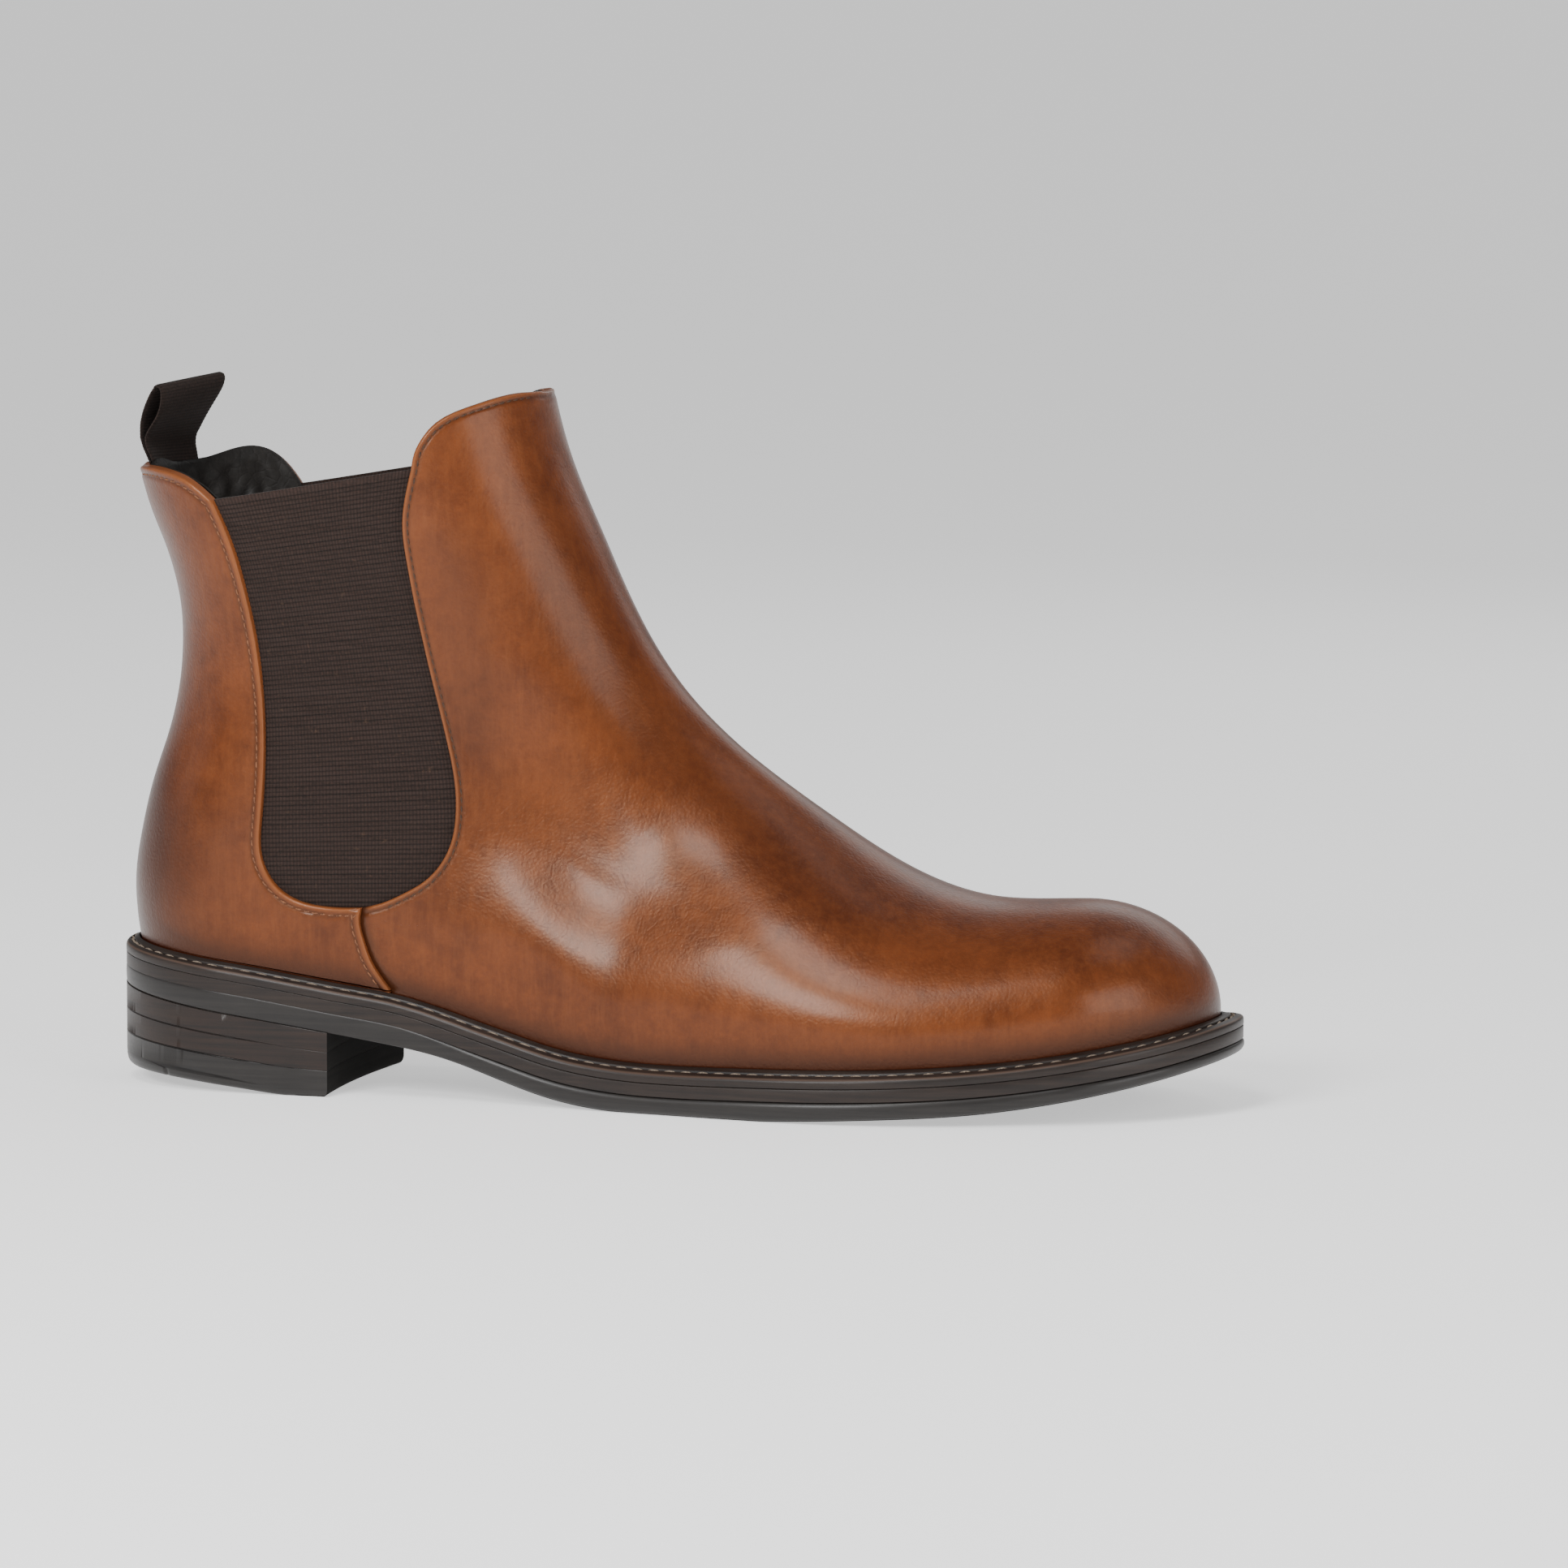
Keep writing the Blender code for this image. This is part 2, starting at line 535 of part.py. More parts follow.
def heel_level(share):
    """Height in the heel: 0 is the ground side, 1 the seat under the outsole."""
    def height(x):
        ground = np.maximum(table(HEEL_BOTTOM, x), 0)
        return ground + share * (table(SOLE_BOTTOM, x) - GAP - ground)
    return height


plank("insole_board", -3.8, above(1.9), above(-0.15), [(-0.8, 0), (0, 0.4), (0, 1)], fibre)
plank("footbed", -6.4, above(5.2), above(2.2), [(0, 0), (0, 0.6), (-0.6, 0.9), (-1.6, 1)], foam)
plank("cork_filler", -11.5, above(-0.8), above(-2.5), [(0, 0), (0, 1)], cork, start=146, stations=18)
plank("midsole", welt_edge(-0.3), above(-2.9), above(-5.9), [(-0.4, 0), (0, 0.2), (0, 0.8), (-0.4, 1)],
      dark_sole)
OUTSOLE_EDGE = [(-1.6, 0), (-0.5, 0.12), (0.2, 0.4), (0.1, 0.8), (-0.5, 1)]
LIFT_EDGE = [(-0.3, 0), (0, 0.1), (0, 0.9), (-0.3, 1)]
TREAD_EDGE = [(-1.3, 0), (-0.4, 0.08), (0, 0.3), (0, 0.9), (-0.3, 1)]
plank("outsole", welt_edge(0.2), above(-6.2), sole_bottom, OUTSOLE_EDGE, sole_rubber, stations=38)
plank("heel_lift_upper", welt_edge(0.1), heel_level(1), heel_level(0.71), LIFT_EDGE, heel_stack,
      end=BREAST_X, stations=14, bow=1.8)
plank("heel_lift_lower", welt_edge(0.2), heel_level(0.695), heel_level(0.42), LIFT_EDGE, heel_stack,
      end=BREAST_X, stations=14, bow=1.8)
plank("heel_top_piece", welt_edge(0.3), heel_level(0.405), heel_level(0), TREAD_EDGE, sole_rubber,
      end=BREAST_X, stations=16, bow=1.8)

# Steel shank between midsole and insole, from the heel seat to behind the ball.
shank_x = np.linspace(46, 136, 16)
shank_y = table(CENTRE, shank_x) + 0.5
shank_half = 7.0 * np.clip(1 - np.abs((shank_x - 91) / 45.2) ** 6, 0.08, 1) ** 0.5
shank_points = []
for height in (-2.3, -1.1):
    for side in (-1, 1):
        level = welt_top(shank_x) + height
        shank_points.append(np.column_stack([shank_x, shank_y + side * shank_half, level]))
shank_faces = []
n = len(shank_x)
for i in range(n - 1):
    for a, b in ((0, 1), (1, 3), (3, 2), (2, 0)):
        shank_faces.append((a * n + i, a * n + i + 1, b * n + i + 1, b * n + i))
shank_faces += [(0, n, 3 * n, 2 * n), (n - 1, 2 * n - 1, 4 * n - 1, 3 * n - 1)]
add("shank", np.vstack(shank_points), shank_faces, steel)

# Welt: a strip all round the upper, its top sloping up to the leather, with a channel for the stitches.
WELT_STATIONS = 90
CHANNEL = 0.51
WELT_SECTION = [(0, -2.6), (0.95, -2.6), (1, -2.2), (1, -0.25), (0.95, 0.08), (0.62, 0.72), (0.60, -0.1),
                (0.42, -0.1), (0.42, 1.1), (0.08, 1.75), (0, 1.6)]
inner_edge, outer_edge = ring(0.5, WELT_STATIONS), ring(welt_edge(), WELT_STATIONS)


def welt_line(share, height):
    plan = inner_edge + (outer_edge - inner_edge) * share
    return np.column_stack([plan, welt_top(plan[:, 0]) + height])


welt_points = np.stack([welt_line(*step) for step in WELT_SECTION], axis=1)
m = len(WELT_SECTION)
welt_faces = [((i * m + j), (i * m + (j + 1) % m), ((i + 1) % WELT_STATIONS * m + (j + 1) % m),
               ((i + 1) % WELT_STATIONS * m + j)) for i in range(WELT_STATIONS) for j in range(m)]
add("welt", welt_points.reshape(-1, 3), welt_faces, dark_sole)


# ---------------------------------------------------------------- threads

def thread(name, points, radius, look, closed=False):
    """A thread along these points, in the tables' millimetres."""
    line = bpy.data.curves.new(name, "CURVE")
    line.dimensions = "3D"
    line.bevel_depth = radius * MM
    line.bevel_resolution = 0
    line.use_fill_caps = True
    spline = line.splines.new("POLY")
    spline.points.add(len(points) - 1)
    spline.use_cyclic_u = closed
    for knot, place in zip(spline.points, (np.asarray(points) - ORIGIN) * MM):
        knot.co = (*place, 1.0)
    line.materials.append(look)
    made = bpy.data.objects.new(name, line)
    boot.objects.link(made)
    return made


channel = welt_line(CHANNEL, 0.62)
steps = np.vstack([channel, channel[:1]])
stitch_path = []
for i in range(WELT_STATIONS):
    for third in range(3):
        point = steps[i] + (steps[i + 1] - steps[i]) * third / 3
        point[2] += 0.2 if (3 * i + third) % 2 else -0.2
        stitch_path.append(point)
thread("welt_stitching", stitch_path, 0.3, pale_thread, closed=True)


def beside(line, distance):
    """A side-view line moved sideways, to its left when positive."""
    ahead = np.gradient(line, axis=0)
    ahead /= np.linalg.norm(ahead, axis=1)[:, None]
    return line + np.column_stack([-ahead[:, 1], ahead[:, 0]]) * distance


def raised(line, side, height):
    """A side-view line carried onto the outer surface and lifted off it."""
    step = 0.3
    slope_x = (skin(line + (step, 0), side)[:, 1] - skin(line - (step, 0), side)[:, 1]) / (2 * step)
    slope_z = (skin(line + (0, step), side)[:, 1] - skin(line - (0, step), side)[:, 1]) / (2 * step)
    normal = side * np.column_stack([-slope_x, np.ones(len(line)), -slope_z])
    return skin(line, side) + normal / np.linalg.norm(normal, axis=1)[:, None] * height


vamp_edge = np.vstack([curve(GORE_FRONT[::-1], 90)[:-1], curve(FRONT_TOPLINE[::-1], 50)[:-5]])
vamp_row = along(beside(vamp_edge, -2.2)[8:], np.linspace(0, 1, 46))
for name, side in (("outer", -1), ("inner", 1)):
    topline, gore = curve(BACK_TOPLINE[side], 60)[4:-1], curve(GORE_REAR[side], 90)[:-1]
    quarter_edge = np.vstack([topline, gore, curve(SIDE_SEAM, 24)])
    quarter_row = along(beside(quarter_edge, -2.4)[3:-5], np.linspace(0, 1, 48))
    thread(f"quarter_stitching_{name}", raised(quarter_row, side, 0.55), 0.22, brown_thread)
    thread(f"vamp_stitching_{name}", raised(vamp_row, side, 0.55), 0.22, brown_thread)


# ---------------------------------------------------------------- pull tab

turn = math.radians(TAB_TURN)
WIDE = np.array([math.cos(turn), math.sin(turn), 0])
FORWARD = np.array([math.sin(turn), -math.cos(turn), 0])
HINGE = np.array([*TAB_CENTRE, TAB_HINGE_Z])
TAB_WALL = 0.9
TAB_LOOP = [(0, -0.85), (-0.6, -0.6), (-0.85, 0), (-1.0, 3), (-1.35, 7), (-1.2, 11), (-0.5, 15),
            (0.3, 17.2), (1.5, 18.2), (3.0, 17.9), (4.2, 16.3), (4.6, 13.6), (4.2, 10.5), (3.0, 7.0),
            (1.7, 4.0), (0.95, 1.8), (0.85, 0), (0.6, -0.6)]
TAB_STATIONS = [(-12, 0.93, 4.2), (-6, 0.97, 4.8), (0, 1.02, 5.5), (6, 1.07, 6.2), (12, 1.1, 6.8)]

loop = np.array(TAB_LOOP)
around = np.roll(loop, -1, axis=0) - np.roll(loop, 1, axis=0)
around /= np.linalg.norm(around, axis=1)[:, None]
hole = loop + np.column_stack([around[:, 1], -around[:, 0]]) * TAB_WALL
hole[loop[:, 1] < 3.5] = (0.1, 3.6)
tab_points = []
for offset, height, lean in TAB_STATIONS:
    for outline in (loop, hole):
        up = outline[:, 1] * height
        forward = outline[:, 0] + lean * np.clip(up / 18, 0, 2) ** 1.5
        tab_points.append(HINGE + WIDE * offset + forward[:, None] * FORWARD + up[:, None] * (0, 0, 1))
tab_faces = []
m = len(loop)
for station in range(len(TAB_STATIONS) - 1):
    for wall in (0, 1):
        a, b = (2 * station + wall) * m, (2 * station + 2 + wall) * m
        tab_faces += [(a + (i - 1) % m, a + i, b + i, b + (i - 1) % m) for i in range(m)]
for a in (0, 2 * m * (len(TAB_STATIONS) - 1)):
    tab_faces += [(a + (i - 1) % m, a + i, a + m + i, a + m + (i - 1) % m) for i in range(m)]
add("pull_tab", np.vstack(tab_points), tab_faces, webbing, pivot=HINGE)


def back_wall(z, depth, offsets):
    """Plan points inside the back of the shaft, at these distances from the tab's middle along the wall."""
    x = np.interp(z, REAR[:, 1], REAR[:, 0]) + 24 * np.linspace(0, 1, 60) ** 2
    level = np.column_stack([x, np.full(60, z)])
    wall = np.vstack([skin(level, -1)[::-1, :2], skin(level, 1)[1:, :2]])
    ahead = np.gradient(wall, axis=0)
    ahead /= np.linalg.norm(ahead, axis=1)[:, None]
    s = lengths(wall)
    middle = s[np.argmin(np.linalg.norm(wall - (5.9, 8.1), axis=1))]
    inside = wall + np.column_stack([ahead[:, 1], -ahead[:, 0]]) * depth
    return np.column_stack([np.interp(middle + offsets, s, column) for column in inside.T])


offsets = np.linspace(-12, 12, 9)
tail_points = []
for z, straight in ((153.0, 0), (158.0, 0), (162.0, 0), (164.6, 0.15), (167.2, 1)):
    for depth in (2.0, 3.4):
        wall = back_wall(min(z, 163.5), depth, offsets)
        line = HINGE[:2] + offsets[:, None] * WIDE[:2] + (depth - 2.7) * FORWARD[:2]
        tail_points.append(np.column_stack([wall + (line - wall) * straight, np.full(9, z)]))
tail_faces = []
for row in range(4):
    a = row * 18
    for i in range(8):
        tail_faces += [(a + i, a + i + 1, a + i + 19, a + i + 18),
                       (a + i + 9, a + i + 10, a + i + 28, a + i + 27)]
    for i in (0, 8):
        tail_faces.append((a + i, a + i + 9, a + i + 27, a + i + 18))
for a in (0, 72):
    tail_faces += [(a + i, a + i + 1, a + i + 10, a + i + 9) for i in range(8)]
add("pull_tab_tails", np.vstack(tail_points), tail_faces, webbing)


# ---------------------------------------------------------------- heel nails

NAIL_PLACES = [(15, 0), (27, -15), (27, 15), (50, -18), (50, 17)]
holes = []
for number, (x, y) in enumerate(NAIL_PLACES, 1):
    low, high = float(heel_level(0.42)(np.array([x]))[0]), float(heel_level(1)(np.array([x]))[0])
    nail = (1.1, low + 0.8, high - 0.8, f"heel_nail_{number}")
    hole = (1.5, low - 4, high + 4, "hole")
    for radius, bottom, top, name in (nail, hole):
        bpy.ops.mesh.primitive_cylinder_add(vertices=12, radius=radius * MM, depth=(top - bottom) * MM,
                                            location=(np.array([x, y, (top + bottom) / 2]) - ORIGIN) * MM)
        made = bpy.context.object
        made.name = name
        made.data.materials.append(steel)
        for collection in list(made.users_collection):
            collection.objects.unlink(made)
        (cutters if name == "hole" else boot).objects.link(made)
        if name == "hole":
            made.name = f"nail_hole_{number}"
            made.hide_render = True
            made.display_type = "WIRE"
            holes.append(made)
for lift in ("heel_lift_upper", "heel_lift_lower"):
    for hole_cutter in holes:
        cut = bpy.data.objects[lift].modifiers.new(hole_cutter.name, "BOOLEAN")
        cut.operation = "DIFFERENCE"
        cut.solver = "EXACT"
        cut.object = hole_cutter
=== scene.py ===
"""The look of the chelsea boot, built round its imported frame.

Lengths in the tables are millimetres, in the boot's side view (x from the back of the heel towards the
toe, z up) or in plan (y towards the inner side). Each visible panel is a closed shell with rounded edges,
and each stitch is a thread of its own.
"""

import math

import bpy
import numpy as np
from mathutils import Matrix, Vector


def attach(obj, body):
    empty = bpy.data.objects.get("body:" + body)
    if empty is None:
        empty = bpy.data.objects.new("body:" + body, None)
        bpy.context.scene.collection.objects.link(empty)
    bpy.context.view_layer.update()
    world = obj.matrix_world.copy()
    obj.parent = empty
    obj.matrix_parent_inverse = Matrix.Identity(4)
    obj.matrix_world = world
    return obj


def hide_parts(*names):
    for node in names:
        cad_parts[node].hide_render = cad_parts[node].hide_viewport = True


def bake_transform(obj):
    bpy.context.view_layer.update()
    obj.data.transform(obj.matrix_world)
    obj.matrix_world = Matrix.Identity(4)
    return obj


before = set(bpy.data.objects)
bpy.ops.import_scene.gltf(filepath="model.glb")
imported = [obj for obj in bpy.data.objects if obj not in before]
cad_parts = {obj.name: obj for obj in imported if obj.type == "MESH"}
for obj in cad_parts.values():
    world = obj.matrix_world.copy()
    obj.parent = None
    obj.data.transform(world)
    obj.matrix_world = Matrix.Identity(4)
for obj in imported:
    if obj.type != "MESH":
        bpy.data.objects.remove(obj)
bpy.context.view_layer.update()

MM = 0.001
ORIGIN = np.array([152.4, -0.5, 0.0])

SIDES = (("outer", -1), ("inner", 1))

# Thicknesses, and depths below the leather's surface.
LEATHER = 1.7
FOLD = 0.9                # how much thicker the leather is where its edge is turned over
GORE_DEPTH = 1.9
ELASTIC = 1.2
LINING = 1.0
SHAFT_LINING_DEPTH = 3.4
FOOT_LINING_DEPTH = 4.0
TAPE_OUTER = 2.1
TAPE_INNER = 2.45
UNEVENNESS = 0.07         # of the leather, over lengths of UNEVEN_SIZE
UNEVEN_SIZE = 15

RIB_PITCH = 1.25          # gore elastic
RIB_RELIEF = 0.34
GORE_WIDTH = 68.0
GORE_BINDING = 1.6        # plain strip along the gore's upper edge

FEATHER_RISE = 2.0        # the welt slopes up this much to the upper
BREAST_X = 67.0
TIP_X = 298.0
TIP_DEPTH = 36.0
SPLIT_X = 173.0           # where the vamp's waist line meets the instep
DRAWN_IN = {-1: 7.0, 1: 3.0}    # how far the outer and inner side draw in above the welt at the waist
TAB_CENTRE = (9.1, 7.2)   # plan point of the pull tab's middle
BACK_GAP = 0.12           # from each quarter to the middle of the back seam
VAMP_STITCH = 1.6         # stitch rows, from the leather's edge
QUARTER_STITCH = 2.0
GROOVE = 0.22             # how deep the stitches draw the leather in
SEAM_TOP = 52.0           # where the side seam ends under the gore
SEAM_SINK = 1.15          # at the side seam the vamp dips under the quarter, and the quarter rises over it
SEAM_RISE = 0.75

# Side-view lines of the upper; where the sides differ, -1 is the outer one and 1 the inner.
BACK_TOP = (5.9, 164)
RIDGE = [
    (118, 185.6), (122, 170.5), (131.7, 147), (143.2, 122.8), (155, 105.6), (171.5, 89.8), (192.5, 74.6),
    (215, 60.6), (236, 53.8), (256, 53.6), (275, 54), (300, 54), (330, 54),
]
BACK = [
    (4.8, 170), (9.2, 152.5), (14, 140), (16.9, 127), (17.3, 118), (16.3, 107), (13.4, 94), (9, 81),
    (5.7, 68), (3.9, 57), (3.8, 48), (4.6, 40), (6, 33),
]
FRONT_TOPLINE = [
    (118, 185.6), (114.6, 185.3), (106.3, 182.9), (99.8, 180.2), (96, 177.6), (92.6, 173.4), (90.8, 169.5),
    (90.2, 166.1),
]
BACK_TOPLINE = {
    -1: [(5.9, 164), (13.7, 164.5), (21.1, 163.8), (27, 162.1), (31.2, 159.6), (34.9, 156.7)],
    1: [(5.9, 164), (13.2, 164.3), (18, 165.9), (23.5, 167.3), (29, 166.8), (34.6, 163.3), (39.4, 157.5)],
}
GORE_REAR_LOW = [
    (48.4, 95.2), (48.4, 83.2), (47.6, 71.2), (47.5, 64.5), (49, 59.4), (52.4, 54.8), (57, 51.9),
    (63, 50.4), (69.5, 50), (75.6, 50.2),
]
GORE_REAR = {
    -1: [(34.9, 156.7), (38.4, 148.7), (41.4, 139.5), (44, 129), (45.7, 120.5), (47.2, 110)] + GORE_REAR_LOW,
    1: [(39.4, 157.5), (41.6, 149), (43.4, 139.5), (45.1, 129), (46.3, 120.5), (47.4, 110)] + GORE_REAR_LOW,
}
GORE_FRONT = [
    (90.2, 166.1), (88.6, 159.5), (87.4, 151.4), (88.2, 142), (90.1, 130.1), (91.8, 121.7), (94.8, 108.4),
    (98.2, 94.3), (100.2, 84.8), (100.8, 75.3), (99.9, 68.6), (97.2, 62.6), (92.8, 57.8), (87, 54.3),
    (81, 51.6), (75.6, 50.2),
]
GORE_SEWN_REAR = [(41, 46), (39.5, 68), (40, 95), (38, 120.5), (33, 142), (26.5, 155.3)]
GORE_SEWN_FRONT = [(108, 48), (108.5, 84), (103, 108.5), (98.2, 131.5), (95.8, 152), (98.6, 167.2)]
SIDE_SEAM = [(75.6, 50.2), (75.2, 46.6), (76.3, 41.7), (78, 36.6), (80.6, 32.1), (83.2, 28.6)]

# Side-view heights of the sole against x.
WELT_TOP = [
    (0, 37.2), (24.7, 34.4), (45, 31.8), (61, 29.4), (71, 27.9), (84, 26), (95, 23.4), (106, 20.1),
    (117, 16.9), (128, 13.9), (139, 12), (148, 11.2), (159, 10.9), (178, 11.2), (200, 11.8), (228, 12.9),
    (253, 14.9), (277, 18.4), (289, 20.6), (305, 24.6),
]
SOLE_BOTTOM = [
    (0, 26.5), (67, 17.2), (82, 15), (98, 11.9), (111.6, 7.6), (125.3, 3.2), (139.2, 0.6), (158, -0.3),
    (176, -0.3), (194.6, 0.3), (212, 1.2), (228.8, 2.1), (244.8, 3.3), (260.4, 5.4), (275.6, 8.2),
    (290.2, 11.4), (305, 15.4),
]
HEEL_BOTTOM = [(0, 4.4), (10, 3.9), (25, 3), (35, 2.1), (44, 1.1), (52, 0.2), (60, -0.2), (70, -0.2)]
WELT_WIDTH = [(0, 4), (60, 4.2), (100, 5), (150, 5.5), (305, 6)]

# Widths of the last: outer and inner side of the foot near the sole, and the shaft.
FOOT_OUTER = [
    (0, 30.5), (30, 30.5), (60, 31), (90, 31.5), (120, 34.5), (150, 40.5), (180, 47.5), (205, 51.5),
    (230, 50.5), (255, 44.5), (278, 38), (298, 33),
]
FOOT_INNER = [
    (0, 30), (30, 30), (60, 29), (90, 26), (120, 26), (150, 29.5), (180, 35), (205, 38.8), (230, 38.5),
    (255, 34.5), (278, 31), (298, 29),
]
SHAFT = [(30, 31), (60, 32), (85, 30.5), (105, 29.5), (130, 30.5), (157, 33), (190, 34)]
CENTRE = [(0, 0), (80, 0), (120, 1), (160, 3), (200, 5), (240, 6.5), (275, 6.5), (310, 5)]
ROUND_FRONT = [(110, 38), (131, 39), (155, 49), (190, 57), (215, 46), (240, 34), (262, 30), (340, 30)]
ROUND_BACK = [(20, 33), (60, 33), (110, 34), (170, 32)]


# ---- curves

def cubic(t, p, q):
    """Natural cubic spline through the values p at t, read at q."""
    t = np.asarray(t, float)
    p = np.asarray(p, float)
    q = np.clip(np.asarray(q, float), t[0], t[-1])
    h = np.diff(t)
    a = np.eye(len(t))
    b = np.zeros_like(p)
    for i in range(1, len(t) - 1):
        a[i, i - 1:i + 2] = h[i - 1], 2 * (h[i - 1] + h[i]), h[i]
        b[i] = 6 * ((p[i + 1] - p[i]) / h[i] - (p[i] - p[i - 1]) / h[i - 1])
    m = np.linalg.solve(a, b)
    i = np.clip(np.searchsorted(t, q) - 1, 0, len(t) - 2)
    left, right, width = t[i + 1] - q, q - t[i], h[i]
    if p.ndim > 1:
        left, right, width = left[..., None], right[..., None], width[..., None]
    return (m[i] * left**3 / (6 * width) + m[i + 1] * right**3 / (6 * width)
            + (p[i] / width - m[i] * width / 6) * left + (p[i + 1] / width - m[i + 1] * width / 6) * right)


def table(rows, x):
    rows = np.array(rows, float)
    return cubic(rows[:, 0], rows[:, 1], x)


def lengths(points):
    return np.concatenate([[0], np.cumsum(np.linalg.norm(np.diff(points, axis=0), axis=1))])


def along(points, fractions):
    """Points at these fractions of a polyline's length."""
    s = lengths(points)
    return np.stack([np.interp(np.asarray(fractions) * s[-1], s, column) for column in points.T], axis=-1)


def curve(points, count):
    """Evenly spaced points on the smooth curve through these points."""
    points = np.array(points, float)
    t = lengths(points)
    return along(cubic(t, points, np.linspace(0, t[-1], 40 * len(points))), even(count))


def smooth(low, high, x):
    t = np.clip((x - low) / (high - low), 0, 1)
    return t * t * (3 - 2 * t)


def hump(x, middle, width):
    return np.exp(-((x - middle) / width) ** 2)


def fade(low, high, x):
    return 1 - smooth(low, high, x)


def even(count):
    return np.linspace(0, 1, count)


def unit(vectors):
    return vectors / np.linalg.norm(vectors, axis=1)[:, None]


def right_of(ahead):
    """Unit vectors to the right of these plan or side-view directions."""
    ahead = unit(ahead)
    return np.column_stack([ahead[:, 1], -ahead[:, 0]])


def nearest(points, line, batch=4000):
    """Distance from each point to a polyline, and the nearest point on it."""
    start, step = line[:-1], np.diff(line, axis=0)
    squared = (step**2).sum(1)
    distances, feet = [], []
    for first in range(0, len(points), batch):
        some = points[first:first + batch]
        offset = some[:, None, :] - start
        u = np.clip((offset * step).sum(2) / squared, 0, 1)
        foot = start + u[..., None] * step
        distance = np.linalg.norm(some[:, None, :] - foot, axis=2)
        k = distance.argmin(1)
        row = np.arange(len(k))
        distances.append(distance[row, k])
        feet.append(foot[row, k])
    return np.concatenate(distances), np.concatenate(feet)


# ---- the last: the shape of the upper

RIDGE_LINE = curve(RIDGE, 400)
BACK_LINE = curve(BACK, 240)


def welt_top(x):
    return table(WELT_TOP, x)


def feather(x):
    """Height of the line where the upper meets the welt."""
    return welt_top(x) + FEATHER_RISE


def waist_draw(x, z, side):
    """How far the side leans in above the welt, behind the ball of the foot."""
    start = 43 - 16 * smooth(112, 150, x)
    drawn = smooth(start, start + 30, z) * fade(start + 34, start + 76, z)
    return DRAWN_IN[side] * hump(x, 138, 36) * drawn


def half_width(points, side):
    """Distance of the outer surface from the boot's curved centre plane; side is -1 outer, +1 inner."""
    x, z = points[:, 0], points[:, 1]
    to_front, at_front = nearest(points, RIDGE_LINE)
    to_back, at_back = nearest(points, BACK_LINE)
    front = np.clip(1 - to_front / table(ROUND_FRONT, at_front[:, 0]), 0, 1)
    back = np.clip(1 - to_back / table(ROUND_BACK, at_back[:, 1]), 0, 1)
    tip = np.clip(1 - (TIP_X - x) / TIP_DEPTH, 0, 1)
    foot = table(FOOT_OUTER if side < 0 else FOOT_INNER, x) * (0.98 + 0.045 * smooth(-6, 14, z - feather(x)))
    shaft = smooth(55 - 18 * hump(x, 150, 45), 105, z)
    width = foot * (1 - shaft) + table(SHAFT, z) * shaft - waist_draw(x, z, side)
    return width * np.sqrt(np.clip(1 - front**2 - back**2 - tip**2, 0, 1))


def centre(x):
    """The curved centre plane's y."""
    return table(CENTRE, x)


def skin(points, side):
    """Side-view points carried onto the outer surface of the boot."""
    x, z = points.T
    return np.column_stack([x, centre(x) + side * half_width(points, side), z])


def front_line():
    """The front profile: down the shaft, along the instep and round the toe to the welt."""
    straight = RIDGE_LINE[RIDGE_LINE[:, 0] < TIP_X - TIP_DEPTH]
    turn = np.linspace(0.02, math.pi / 2, 60)
    x = TIP_X - TIP_DEPTH * (1 - np.sin(turn))
    top = np.interp(x, RIDGE_LINE[200:, 0], RIDGE_LINE[200:, 1])
    toe = np.column_stack([x, top - table(ROUND_FRONT, x) * (1 - np.cos(turn))])
    toe = toe[toe[:, 1] > feather(toe[:, 0])]
    end = [toe[-1, 0] + 0.02, feather(toe[-1, 0])]
    return np.vstack([straight, toe, [end]])


def back_line():
    """The back profile, from the welt up to the topline."""
    line = BACK_LINE[::-1]
    line = line[(line[:, 1] > feather(line[:, 0])) & (line[:, 1] < BACK_TOP[1])]
    return np.vstack([[[line[0, 0], feather(line[0, 0])]], line, [BACK_TOP]])


FRONT = front_line()
REAR = back_line()
HEEL_X = REAR[0, 0]


def feather_outline(count):
    """Plan of the upper at the welt: heel back, outer side, toe, inner side; a closed line."""
    x = HEEL_X + (FRONT[-1, 0] - HEEL_X) * (1 - np.cos(np.linspace(0, math.pi, 240))) / 2
    side = np.column_stack([x, feather(x)])
    outer, inner = skin(side, -1)[:, :2], skin(side, 1)[:, :2]
    outer[[0, -1], 1] = centre(x[[0, -1]])
    return along(np.vstack([outer, inner[-2:0:-1], outer[:1]]), even(count + 1))[:-1]


OUTLINE = feather_outline(720)
OUTLINE_NORMAL = right_of(np.roll(OUTLINE, -4, axis=0) - np.roll(OUTLINE, 4, axis=0))
WELT_REACH = table(WELT_WIDTH, OUTLINE[:, 0])


def ring(reach):
    """Plan points this far outside the upper's outline, from the back of the heel."""
    return OUTLINE + OUTLINE_NORMAL * np.reshape(reach, (-1, 1))


# The leather's free edges in side view, each one line.
VAMP_EDGE = np.vstack([curve(GORE_FRONT, 160)[::-1], curve(FRONT_TOPLINE, 60)[::-1][1:]])
QUARTER_EDGE = {side: np.vstack([curve(GORE_REAR[side], 160)[::-1], curve(BACK_TOPLINE[side], 60)[::-1][1:]])
                for side in (-1, 1)}
SEAM_LINE = curve(SIDE_SEAM, 40)
VAMP_TOPLINE = {side: curve(FRONT_TOPLINE, 60) for side in (-1, 1)}
QUARTER_TOPLINE = {side: curve(BACK_TOPLINE[side], 60) for side in (-1, 1)}
GORE_EDGE = {side: np.vstack([curve(GORE_REAR[side], 160), curve(GORE_FRONT, 160)[::-1][1:]])
             for side in (-1, 1)}


# ---- meshes

